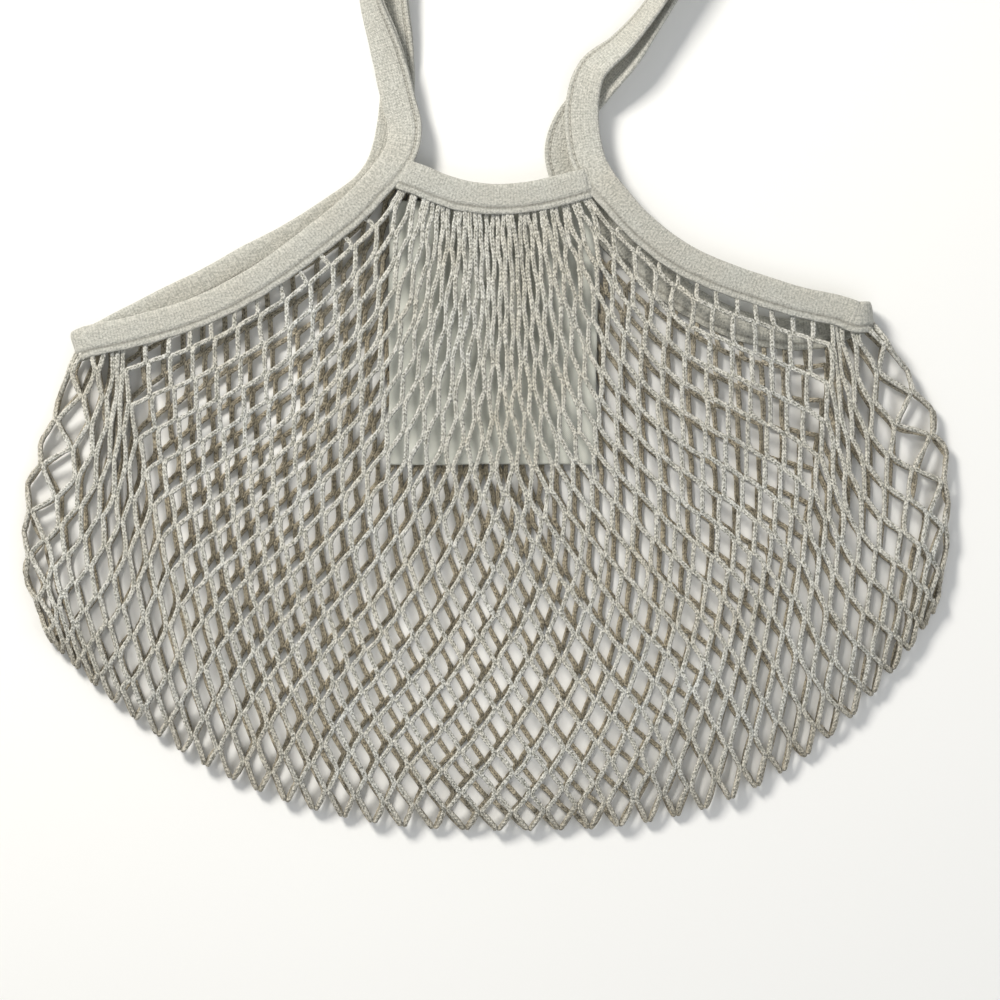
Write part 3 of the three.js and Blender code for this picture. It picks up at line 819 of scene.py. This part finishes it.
@dataclass
class NetCords:
    """The net's cords: zigzag strands that touch side by side at every node."""

    layout: NetLayout
    radius: float = 1.16 * MM
    beside: float = 1.0 * MM
    joined: float = 0.3 * MM
    bend: float = 0.32
    slack: float = 0.75 * MM
    sides: int = 8
    bar_rings: int = 11
    node_rings: int = 1
    stitch: float = 1.65 * MM
    groups: int = 5

    def start_row(self, strip: int) -> int:
        """Return the row at which a strip's cord comes out of its band."""
        outer = strip if strip >= 0 else -1 - strip
        layout = self.layout
        if outer < layout.mouth:
            return 0
        return outer - layout.mouth + 1 if outer < layout.corner_column else layout.corner_row

    def nodes_of(self, strip: int) -> tuple[Array, Array, Array]:
        """Follow one strip down the front, round the bottom and up the back.

        Args:
            strip: The strip between doubled columns strip and strip + 1.

        Returns:
            The nodes, the directions from each node into the strip, and the outward
            directions of the bag there.
        """
        layout = self.layout
        down = np.arange(self.start_row(strip), layout.rows + 1)
        row = np.concatenate([down, down[:-1][::-1]])
        front = np.arange(len(row)) < len(down)
        left = (row + strip) % 2 == 0
        column = np.where(left, strip, strip + 1)
        toward = np.where(left, 1, -1)
        reach = layout.reach[row, 0]
        beyond = np.abs(column + 2 * toward) > reach
        place = np.where(front[:, None], *self.lookup(row, column))
        ahead = np.where(front[:, None], *self.lookup(row, column + 2 * toward))
        behind = np.where(front[:, None], *self.lookup(row, column - 2 * toward))
        into = unit(np.where(beyond[:, None], place - behind, ahead - place))
        way = np.where(front, 1.0, -1.0)
        out = np.column_stack([np.zeros(len(row)), np.zeros(len(row)), way])
        side_fold = (np.abs(column) == layout.columns) & (row >= layout.corner_row) & (row < layout.rows)
        into[side_fold] = out[side_fold]
        out[side_fold] += (math.copysign(0.8, strip), 0, 0)
        out[row == layout.rows] = (0, -1, 0)
        return place, into, unit(out)

    def lookup(self, row: Array, column: Array) -> tuple[Array, Array]:
        """Return front and back places of the nodes at rows and doubled columns."""
        i = np.clip(column + self.layout.columns, 0, 2 * self.layout.columns)
        return self.layout.places[Layer.FRONT][row, i], self.layout.places[Layer.BACK][row, i]

    def strand(self, strip: int) -> tuple[Array, Array]:
        """Work out one cord's middle line and its outward directions.

        At a node the cord runs straight for twice the joined length beside its
        neighbour. Between nodes it is a Hermite curve that bends close to its ends, so
        that the cells are lozenges, and it bows a little to one side where it is slack.
        """
        place, into, out = self.nodes_of(strip)
        smooth = np.concatenate([place[:1], (place[:-2] + 2 * place[1:-1] + place[2:]) / 4, place[-1:]])
        ahead = unit(np.gradient(smooth, axis=0))
        into = unit(into - np.sum(into * ahead, axis=1, keepdims=True) * ahead)
        middle = place + self.beside * into
        start = middle[:-1] + self.joined * ahead[:-1]
        end = middle[1:] - self.joined * ahead[1:]
        gap = np.linalg.norm(end - start, axis=1)[:, None]
        reach = self.bend * gap
        t = np.linspace(0, 1, self.bar_rings)[None, :, None]
        bars = (
            (2 * t**3 - 3 * t**2 + 1) * start[:, None]
            + (t**3 - 2 * t**2 + t) * (reach * ahead[:-1])[:, None]
            + (3 * t**2 - 2 * t**3) * end[:, None]
            + (t**3 - t**2) * (reach * ahead[1:])[:, None]
        )
        slack = self.slack * plane_noise(place[:-1, :2], 90 + strip % 7, 0.013)[:, None, None]
        bars += slack * np.sin(math.pi * t) * np.cross(ahead[:-1], out[:-1])[:, None]
        facing = out[:-1, None] * (1 - t) + out[1:, None] * t
        joins = np.linspace(-1, 1, self.node_rings + 2)[1:-1][None, :, None]
        held = middle[1:, None] + self.joined * joins * ahead[1:, None]
        turned = np.broadcast_to(out[1:, None], held.shape)
        line = np.concatenate([bars, held], axis=1).reshape(-1, 3)[:-self.node_rings]
        face = np.concatenate([facing, turned], axis=1).reshape(-1, 3)[:-self.node_rings]
        return line, face

    def tube(self, line: Array, face: Array, seed: int) -> tuple[Array, Array, Array]:
        """Sweep a cord's round section along its line, with closed ends.

        The radius swells and shrinks a little at the stitch pitch and at random.
        """
        ahead = unit(np.gradient(line, axis=0))
        out = unit(face - np.sum(face * ahead, axis=1, keepdims=True) * ahead)
        across = np.cross(ahead, out)
        run = lengths_along(line)
        swell = 1 + 0.08 * np.cos(2 * math.pi * run / self.stitch) + 0.06 * soft_noise(run, seed, 0.02)
        swell[[0, -1]] = 0.02
        angle = 2 * math.pi * np.arange(self.sides) / self.sides + math.pi / self.sides
        size = self.radius * swell[:, None]
        section = np.stack([size * np.sin(angle), size * np.cos(angle)], axis=-1)
        path = Path(line, across, out, np.zeros(len(line)))
        points, quads, uv = sweep(path, section)
        uv = uv.reshape(-1, 4, 2)
        around = np.tile(np.arange(self.sides) / self.sides, len(line) - 1)
        step = 1 / self.sides
        uv[:, :, 1] = np.stack([around, around + step, around + step, around], axis=-1) + step / 2
        uv[:, :, 0] += seed * 0.37 * MM
        caps = end_caps(len(line), self.sides)
        cap_uv = np.zeros((len(caps), 4, 2))
        return points, np.concatenate([quads, caps]), np.concatenate([uv, cap_uv]).reshape(-1, 2)

    def build(self, material: bpy.types.Material) -> list[bpy.types.Object]:
        """Build the cords as a few joined pieces, side by side over the bag's width."""
        pieces = []
        strips = np.arange(-self.layout.columns, self.layout.columns)
        for number, group in enumerate(np.array_split(strips, self.groups)):
            points, faces, uvs, base = [], [], [], 0
            for strip in group:
                line, face = self.strand(int(strip))
                part, quads, uv = self.tube(line, face, int(strip) + 100)
                points.append(part)
                faces.append(quads + base)
                uvs.append(uv)
                base += len(part)
            piece = new_piece(f"net_cords_{number + 1}", np.concatenate(points), np.concatenate(faces),
                              np.concatenate(uvs))
            piece.data.materials.append(material)
            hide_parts("net_body")
            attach(piece, BODY)
            pieces.append(piece)
        return pieces


@dataclass
class BagTape:
    """The long knitted tape: two straps and four bindings in one closed loop."""

    frame: BagFrame
    half_points: int = 20
    scallop: float = 12.6 * MM

    def section(self, path: Path) -> Array:
        """Work out the folded strip's section at every station.

        Across the strip s runs from 1 at its open edge to -1 at its fold. The upper
        face is a flattened arc (1 - |s|^p)^(1/p), with a sunk line of stitching near
        the open edge, a swell beside it and, at the open edge, a slot into the fold.
        """
        run = path.run
        bound = path.bound[:, None]
        s = np.cos(math.pi * np.linspace(0.06, 1, self.half_points))[None]
        wide = (BAG.strap_width + (BAG.band_width - BAG.strap_width) * bound) / 2
        high = (BAG.strap_height + (BAG.band_height - BAG.strap_height) * bound) / 2
        slow_wander = 0.25 * MM * soft_noise(run, 3, 0.11)[:, None]
        wander = slow_wander + 0.12 * MM * soft_noise(run, 4, 0.025)[:, None]
        puff = 1 + 0.06 * soft_noise(run, 5, 0.04)[:, None]
        power = np.where(s < 0, 3.2, 4.2)
        arch = (1 - np.abs(s) ** power) ** (1 / power)
        edge_level = 0.42 + 0.1 * bound
        face = np.where(s > 0, edge_level + (1 - edge_level) * arch, arch)
        seam = 0.7 - 0.1 * bound
        depth = 0.34 - 0.04 * bound
        stitched = depth * np.exp(-(((s - seam) / 0.075) ** 2))
        swell = 0.06 * np.exp(-(((s - seam + 0.25) / 0.16) ** 2))
        crown = 0.1 * (1 - s**2) * (1 - bound)
        top = high * puff * (face - stitched + swell - crown)
        pucker_wave = np.sin(2 * math.pi * run / self.scallop)[:, None]
        pucker = 0.16 * MM * bound * pucker_wave * (s > 0.2) * (s - 0.2)
        w_top = s * (wide + wander * (1 - bound * 0.4)) + pucker
        lip = 0.2 * high
        slot = [
            np.concatenate([wide * 0.985 + 0 * s[:, :1], np.broadcast_to(lip, wide.shape)], axis=1)[:, None],
            np.concatenate([wide * 0.72 + 0 * s[:, :1], np.broadcast_to(lip * 0.7, wide.shape)], axis=1)[:, None],
        ]
        upper = np.stack([w_top, top], axis=-1)
        lower = upper[:, ::-1][:, 1:] * (1, -1)
        under = [edge * (1, -1) for edge in slot]
        return np.concatenate([slot[1], slot[0], upper, lower, under[0], under[1]], axis=1)

    def groove(self, bound: Array) -> Array:
        """Return how deep in the line of stitching each point of the section lies."""
        s = np.cos(math.pi * np.linspace(0.06, 1, self.half_points))[None]
        sunk = np.exp(-(((s - 0.7 + 0.1 * bound[:, None]) / 0.06) ** 2))
        edge = np.zeros((len(bound), 2))
        return np.concatenate([edge, sunk, sunk[:, ::-1][:, 1:], edge], axis=1)

    def build(self, material: bpy.types.Material) -> bpy.types.Object:
        """Build the loop as one closed mesh, with its binding share as an attribute."""
        path = self.frame.loop
        section = self.section(path)
        points, quads, uv = sweep(path, section)
        piece = new_piece("knitted_tape", points, quads, uv)
        store_share(piece, "bound", np.repeat(path.bound, section.shape[1]))
        store_share(piece, "groove", self.groove(path.bound).ravel())
        piece.data.materials.append(material)
        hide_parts("handle_tape")
        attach(piece, BODY)
        return piece


def store_share(piece: bpy.types.Object, name: str, values: Array) -> None:
    """Store one number for each vertex as an attribute."""
    attribute = piece.data.attributes.new(name, "FLOAT", "POINT")
    attribute.data.foreach_set("value", values.astype(np.float32))


@dataclass
class RimBands:
    """The two short bands that bind the gathered middle of the mouth."""

    frame: BagFrame
    tape: BagTape
    overlap: float = 3.5 * MM

    def build(self, layer: Layer, material: bpy.types.Material) -> bpy.types.Object:
        """Build one band, its ends tapered where the long tape covers them."""
        path = self.frame.rims[layer]
        low, high = self.frame.clear[layer]
        run = path.run
        more = self.overlap / run[-1]
        keep = (run / run[-1] > low - more) & (run / run[-1] < high + more)
        part = path.part(keep)
        section = self.tape.section(part)
        ends = np.minimum(part.run, part.run[-1] - part.run)
        section[..., 1] *= (0.8 + 0.2 * smoothstep(ends, 0, self.overlap))[:, None]
        section[[0, -1]] *= (0.9, 0.3)
        points, quads, uv = sweep(part, section)
        size = section.shape[1]
        caps = end_caps(len(section), size)
        uv = np.concatenate([uv, np.zeros((4 * len(caps), 2))])
        piece = new_piece(f"mouth_band_{layer.value}", points, np.concatenate([quads, caps]), uv)
        store_share(piece, "bound", np.ones(len(points)))
        store_share(piece, "groove", self.tape.groove(part.bound).ravel())
        piece.data.materials.append(material)
        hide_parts(f"{layer.value}_rim_band")
        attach(piece, BODY)
        return piece


@dataclass
class InnerLabel:
    """The bare cloth label that hangs inside from the back mouth band."""

    frame: BagFrame
    width: float = 94 * MM
    length: float = 119 * MM
    thickness: float = 0.5 * MM
    left: float = -48.9 * MM
    columns: int = 96
    rows: int = 120

    def build(self, material: bpy.types.Material) -> bpy.types.Object:
        """Build the cloth as a height over a grid, with a soft crease down its middle."""
        u, v = np.meshgrid(np.linspace(0, 1, self.columns + 1), np.linspace(0, 1, self.rows + 1))
        x = self.left + self.width * u
        y = -self.length * v
        x = x + 0.5 * MM * soft_noise(y, 31, 0.09) * (2 * u - 1)
        y = y + 0.5 * MM * soft_noise(x, 32, 0.08) * v
        plan = np.stack([x, y], axis=-1).reshape(-1, 2)
        near = self.frame.band_distance(plan, Layer.BACK).reshape(u.shape)
        lowered = smoothstep(near, 2 * MM, 28 * MM)
        over_band = BAG.band_height + 0.9 * MM
        over_net = self.frame.net_height(plan, Layer.BACK).reshape(u.shape) + 2.1 * MM
        crease = 1.6 * MM * np.exp(-((x + 1.8 * MM) / (5 * MM)) ** 2)
        crease = crease * smoothstep(v, 0.1, 0.34) * (1 - 0.5 * smoothstep(v, 0.6, 0.95))
        wave = 0.35 * MM * np.abs(plane_noise(np.stack([x, y], axis=-1), 33, 0.05))
        z = over_band + (over_net - over_band) * lowered + crease + wave
        points = np.stack([x, y, z], axis=-1).reshape(-1, 3)
        size = self.columns + 1
        i, j = np.meshgrid(np.arange(self.columns), np.arange(self.rows))
        corner = (j * size + i).ravel()
        quads = np.stack([corner, corner + size, corner + size + 1, corner + 1], axis=-1)
        uv = np.stack([u.ravel() * self.width, v.ravel() * self.length], axis=-1)[quads.ravel()]
        piece = new_piece("label_cloth", points, quads, uv)
        wall = piece.modifiers.new("cloth_thickness", "SOLIDIFY")
        wall.thickness = self.thickness
        wall.offset = 0
        piece.data.materials.append(material)
        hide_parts("inner_label")
        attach(piece, BODY)
        return piece


def linear(hex_colour: str) -> tuple[float, float, float, float]:
    """Turn an sRGB hex colour into linear red, green, blue and alpha."""
    values = np.array([int(hex_colour[k:k + 2], 16) for k in (1, 3, 5)]) / 255
    curve = np.where(values <= 0.04045, values / 12.92, ((values + 0.055) / 1.055) ** 2.4)
    return (*(float(v) for v in curve), 1.0)


def add_node(tree: bpy.types.NodeTree, kind: str, inputs: dict | None = None,
             **settings: object) -> bpy.types.Node:
    """Add a node with its settings, and set or link its inputs.

    Args:
        tree: The material's node tree.
        kind: The node's type.
        inputs: Values or sockets by input name or number.
        settings: The node's own properties.

    Returns:
        The new node.
    """
    node = tree.nodes.new(kind)
    for name, value in settings.items():
        setattr(node, name, value)
    for name, value in (inputs or {}).items():
        if isinstance(value, bpy.types.NodeSocket):
            tree.links.new(value, node.inputs[name])
        else:
            node.inputs[name].default_value = value
    return node


def maths(tree: bpy.types.NodeTree, operation: str, *values: object) -> bpy.types.NodeSocket:
    """Add a Math node on values or sockets and return its result."""
    return add_node(tree, "ShaderNodeMath", dict(enumerate(values)), operation=operation).outputs[0]


@dataclass(frozen=True)
class KnitPattern:
    """Rows of slanted loops, as on the face of plain knitting, sizes in metres."""

    wale: float
    course: float
    slant: float = 0.8

    def height(self, tree: bpy.types.NodeTree, along: bpy.types.NodeSocket,
               across: bpy.types.NodeSocket) -> bpy.types.NodeSocket:
        """Return the loops' height: a ridge across each slanted loop, low at its sides.

        Inside a wale t runs 0 to 1 and m is its distance from the middle. A loop's
        ridge is the ping-pong of along / course + slant m, and the sides fall as m^2.

        Args:
            tree: The material's node tree.
            along: Distance along the wales.
            across: Distance across the wales.

        Returns:
            The height from 0 to 1.
        """
        lane = maths(tree, "FRACT", maths(tree, "DIVIDE", across, self.wale))
        off = maths(tree, "ABSOLUTE", maths(tree, "MULTIPLY_ADD", lane, 2.0, -1.0))
        place = maths(tree, "MULTIPLY_ADD", off, self.slant, maths(tree, "DIVIDE", along, self.course))
        ridge = maths(tree, "PINGPONG", place, 0.5)
        ridge = maths(tree, "POWER", maths(tree, "MULTIPLY", ridge, 2.0), 0.7)
        side = maths(tree, "SUBTRACT", 1.0, maths(tree, "POWER", off, 3.0))
        return maths(tree, "MULTIPLY", ridge, side)


def mixed(tree: bpy.types.NodeTree, share: object, low: object, high: object) -> bpy.types.NodeSocket:
    """Mix two colours and return the result."""
    node = add_node(tree, "ShaderNodeMix", {0: share, 6: low, 7: high}, data_type="RGBA")
    return node.outputs[2]


def strand_uv(tree: bpy.types.NodeTree) -> tuple[bpy.types.NodeSocket, bpy.types.NodeSocket]:
    """Return the piece's own u and v."""
    uv = add_node(tree, "ShaderNodeUVMap", uv_map="strand").outputs[0]
    parts = add_node(tree, "ShaderNodeSeparateXYZ", {0: uv})
    return parts.outputs[0], parts.outputs[1]


def noise(tree: bpy.types.NodeTree, size: float, detail: float = 2.0) -> bpy.types.NodeSocket:
    """Return noise over Object coordinates whose lumps are about size metres."""
    place = add_node(tree, "ShaderNodeTexCoord").outputs["Object"]
    return add_node(tree, "ShaderNodeTexNoise",
                    {"Vector": place, "Scale": 1 / size, "Detail": detail, "Roughness": 0.6}).outputs[0]


def sharpened(tree: bpy.types.NodeTree, value: bpy.types.NodeSocket, gain: float) -> bpy.types.NodeSocket:
    """Raise a value's contrast about its middle, kept from 0 to 1."""
    steep = maths(tree, "MULTIPLY_ADD", value, gain, 0.5 - gain / 2)
    return add_node(tree, "ShaderNodeClamp", {"Value": steep}).outputs[0]


def level_share(tree: bpy.types.NodeTree, low: float, high: float) -> bpy.types.NodeSocket:
    """Return how far up a place is between two heights, from 0 to 1."""
    place = add_node(tree, "ShaderNodeTexCoord").outputs["Object"]
    up = add_node(tree, "ShaderNodeSeparateXYZ", {0: place}).outputs[2]
    return add_node(tree, "ShaderNodeMapRange", {"Value": up, "From Min": low, "From Max": high}).outputs[0]


def cloth_shader(tree: bpy.types.NodeTree, colour: object, height: object, relief: float,
                 roughness: float, sheen: float) -> None:
    """End a cloth's tree: a matt, faintly furry Principled shader with its bump.

    Args:
        tree: The material's node tree.
        colour: The colour's socket.
        height: The relief's socket, 0 to 1.
        relief: Height in metres that 0 to 1 stands for.
        roughness: Roughness of the surface.
        sheen: Weight of the sheen that loose fibres give.
    """
    bump = add_node(tree, "ShaderNodeBump", {"Height": height, "Distance": relief, "Strength": 1.0})
    shader = add_node(tree, "ShaderNodeBsdfPrincipled", {
        "Base Color": colour,
        "Roughness": roughness,
        "Sheen Weight": sheen,
        "Sheen Roughness": 0.6,
        "Normal": bump.outputs[0],
    })
    add_node(tree, "ShaderNodeOutputMaterial", {"Surface": shader.outputs[0]})


def new_material(name: str) -> bpy.types.Material:
    """Return an empty node material."""
    material = bpy.data.materials.new(name)
    material.use_nodes = True
    material.node_tree.nodes.clear()
    return material


@dataclass(frozen=True)
class ChainKnitCotton:
    """Undyed cotton cord, chain knitted on a crochet machine.

    The eye gets two rows of slanted loops down each cord, with shaded grooves between
    them and a matt, slightly hairy surface. Cords lying low, under the front layer, are
    painted darker and yellower as painted shade.
    """

    light: str = "#F6F7F1"
    shade: str = "#6E6E60"
    warm: str = "#EFE9D8"
    # Painted shade: light and dark colours for the cords that lie low, under the front layer
    inner: str = "#CFC3A8"
    inner_shade: str = "#5A5344"
    loops: KnitPattern = KnitPattern(wale=0.25, course=1.65 * MM, slant=0.9)

    def material(self) -> bpy.types.Material:
        """Build the material from the cord's own u, and v once round it."""
        material = new_material("chain_knit_cotton")
        tree = material.node_tree
        u, v = strand_uv(tree)
        round_from_top = maths(tree, "PINGPONG", v, 0.5)
        height = self.loops.height(tree, u, round_from_top)
        fibre = sharpened(tree, noise(tree, 1.3 * MM), 3.6)
        height = maths(tree, "MULTIPLY_ADD", fibre, 0.7, maths(tree, "MULTIPLY", height, 0.75))
        share = maths(tree, "MULTIPLY_ADD", height, 0.95, -0.08)
        share = add_node(tree, "ShaderNodeClamp", {"Value": share}).outputs[0]
        # Painted shade by height: the lower a cord lies, the more it takes the darker, yellower inner colours
        level = level_share(tree, 2.5 * MM, 10.5 * MM)
        patches = sharpened(tree, noise(tree, 30 * MM), 2.0)
        tint = mixed(tree, patches, linear(self.light), linear(self.warm))
        tint = mixed(tree, level, linear(self.inner), tint)
        shade = mixed(tree, level, linear(self.inner_shade), linear(self.shade))
        colour = mixed(tree, share, shade, tint)
        cloth_shader(tree, colour, height, 0.55 * MM, 0.92, 0.15)
        return material


@dataclass(frozen=True)
class KnittedTapeCotton:
    """Undyed cotton tape, knitted in plain stitch, folded and topstitched.

    The eye gets fine wales lengthwise on the straps and a speckle of small loops on
    the bindings, where the tape lies the other way up, and a sunk seam whose groove
    is painted dark as shade, with lighter thread dashes.
    """

    light: str = "#D8DAD3"
    shade: str = "#8A8B82"
    warm: str = "#D2CCBD"
    # Painted shade: the colour of the seam's sunk groove, between the thread dashes and at its deepest part
    seam: str = "#5E5A4F"
    thread: str = "#BDBBAE"
    strap_loops: KnitPattern = KnitPattern(wale=1.15 * MM, course=1.3 * MM, slant=0.5)
    band_loops: KnitPattern = KnitPattern(wale=1.3 * MM, course=1.0 * MM, slant=1.0)
    stitch: float = 2.6 * MM

    def material(self) -> bpy.types.Material:
        """Build the material from the tape's u along it and v across it, in metres."""
        material = new_material("knitted_cotton_tape")
        tree = material.node_tree
        u, v = strand_uv(tree)
        bound = add_node(tree, "ShaderNodeAttribute", attribute_name="bound").outputs["Fac"]
        groove = add_node(tree, "ShaderNodeAttribute", attribute_name="groove").outputs["Fac"]
        strap = self.strap_loops.height(tree, u, v)
        band = self.band_loops.height(tree, v, u)
        height = add_node(tree, "ShaderNodeMix", {0: bound, 2: strap, 3: band}).outputs[0]
        grain = sharpened(tree, noise(tree, 1.0 * MM), 3.2)
        height = maths(tree, "MULTIPLY_ADD", grain, 0.62, maths(tree, "MULTIPLY", height, 0.42))
        share = maths(tree, "MULTIPLY_ADD", height, 0.95, 0.1)
        share = add_node(tree, "ShaderNodeClamp", {"Value": share}).outputs[0]
        tint = mixed(tree, noise(tree, 30 * MM), linear(self.light), linear(self.warm))
        colour = mixed(tree, share, linear(self.shade), tint)
        # Painted shade in the seam's groove: dark between lighter thread dashes, dark all over at its deepest,
        # blended in by the groove's depth
        dash = maths(tree, "PINGPONG", maths(tree, "DIVIDE", u, self.stitch), 0.5)
        dash = maths(tree, "GREATER_THAN", dash, 0.14)
        line = mixed(tree, dash, linear(self.seam), linear(self.thread))
        line = mixed(tree, maths(tree, "GREATER_THAN", groove, 0.75), linear(self.seam), line)
        colour = mixed(tree, maths(tree, "MULTIPLY", groove, 0.75), colour, line)
        cloth_shader(tree, colour, height, 0.35 * MM, 0.94, 0.2)
        return material


@dataclass(frozen=True)
class PlainWeaveCotton:
    """Undyed plain-woven cotton cloth, bare.

    Its threads, 0.5 mm apart, are too fine for the picture, so they are drawn 0.9 mm
    apart, with the faint slubs that cheap cotton has.
    """

    light: str = "#DDDFD6"
    shade: str = "#BDBFB4"
    thread: float = 0.9 * MM

    def material(self) -> bpy.types.Material:
        """Build the material from the cloth's own u and v, in metres."""
        material = new_material("plain_weave_cotton")
        tree = material.node_tree
        u, v = strand_uv(tree)
        warp = maths(tree, "SINE", maths(tree, "MULTIPLY", u, 2 * math.pi / self.thread))
        weft = maths(tree, "SINE", maths(tree, "MULTIPLY", v, 2 * math.pi / self.thread))
        weave = maths(tree, "MULTIPLY_ADD", maths(tree, "MULTIPLY", warp, weft), 0.5, 0.5)
        weave = maths(tree, "MULTIPLY_ADD", noise(tree, 2 * MM), 0.5, weave)
        share = add_node(tree, "ShaderNodeClamp", {"Value": weave}).outputs[0]
        colour = mixed(tree, share, linear(self.shade), linear(self.light))
        cloth_shader(tree, colour, weave, 0.08 * MM, 0.88, 0.2)
        return material


@dataclass(frozen=True)
class MattPaper:
    """Pale seamless studio paper, matt and nearly white."""

    colour: str = "#F3F3F0"

    def material(self) -> bpy.types.Material:
        """Build the material with a faint cloudiness."""
        material = new_material("matt_paper")
        tree = material.node_tree
        colour = mixed(tree, maths(tree, "MULTIPLY", noise(tree, 0.3), 0.06),
                       linear(self.colour), linear("#D8D8D2"))
        cloth_shader(tree, colour, noise(tree, 2 * MM), 0.01 * MM, 0.95, 0.0)
        return material


@dataclass
class Studio:
    """Pale floor, soft lights and the camera straight above."""

    view_width: float = 450 * MM
    view_middle: tuple[float, float] = (1.35 * MM, -135 * MM)
    camera_height: float = 1.7
    sensor: float = 36.0
    picture_level: float = 10 * MM
    floor_size: float = 4.0

    def build(self) -> None:
        """Lay the floor, hang the lights and set the camera."""
        half = self.floor_size / 2
        corners = np.array([[-half, -half, 0], [half, -half, 0], [half, half, 0], [-half, half, 0]])
        floor = new_piece("floor", corners, np.array([[0, 1, 2, 3]]))
        floor.data.materials.append(MattPaper().material())
        self.lamp("key", (-0.75, 0.85, 1.05), 0.4, 27.0, "#FFFBF5")
        self.lamp("fill", (1.1, -0.4, 1.3), 1.4, 6.0, "#F2F6FF")
        self.lamp("top", (0.0, -0.9, 1.6), 1.2, 4.0, "#FFFFFF")
        world = bpy.data.worlds.new("soft_room")
        world.use_nodes = True
        background = world.node_tree.nodes["Background"]
        background.inputs["Color"].default_value = linear("#F4F6F8")
        background.inputs["Strength"].default_value = 0.33
        bpy.context.scene.world = world
        bpy.context.scene.view_settings.view_transform = "Standard"
        camera = bpy.data.objects.new("camera", bpy.data.cameras.new("camera"))
        camera.data.sensor_width = self.sensor
        camera.data.lens = self.sensor * (self.camera_height - self.picture_level) / self.view_width
        camera.location = (*self.view_middle, self.camera_height)
        bpy.context.scene.collection.objects.link(camera)
        bpy.context.scene.camera = camera

    @staticmethod
    def lamp(name: str, place: tuple[float, float, float], size: float, power: float, colour: str) -> None:
        """Hang one square soft light that faces the middle of the bag."""
        light = bpy.data.lights.new(name, "AREA")
        light.energy = power
        light.size = size
        light.color = linear(colour)[:3]
        lamp = bpy.data.objects.new(name, light)
        lamp.location = place
        way = np.array([0.0, -0.1, 0.0]) - np.array(place)
        level = math.hypot(way[0], way[1])
        lamp.rotation_euler = (math.atan2(level, -way[2]), 0, math.atan2(way[1], way[0]) - math.pi / 2)
        bpy.context.scene.collection.objects.link(lamp)


def report(piece: bpy.types.Object) -> None:
    """Log one piece with its size."""
    triangles = sum(len(p.vertices) - 2 for p in piece.data.polygons)
    LOG.info("%s: %d triangles", piece.name, triangles)


def main() -> None:
    """Load the frame, build every piece round it and log each piece's triangles."""
    logging.basicConfig(level=logging.INFO, format="%(name)s: %(message)s")
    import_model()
    Studio().build()
    cord = ChainKnitCotton().material()
    tape_cloth = KnittedTapeCotton().material()
    label_cloth = PlainWeaveCotton().material()
    frame = BagFrame()
    layout = NetLayout(frame)
    for piece in NetCords(layout).build(cord):
        report(piece)
    tape = BagTape(frame)
    report(tape.build(tape_cloth))
    rims = RimBands(frame, tape)
    for layer in Layer:
        report(rims.build(layer, tape_cloth))
    report(InnerLabel(frame).build(label_cloth))


if __name__ == "__main__":
    main()
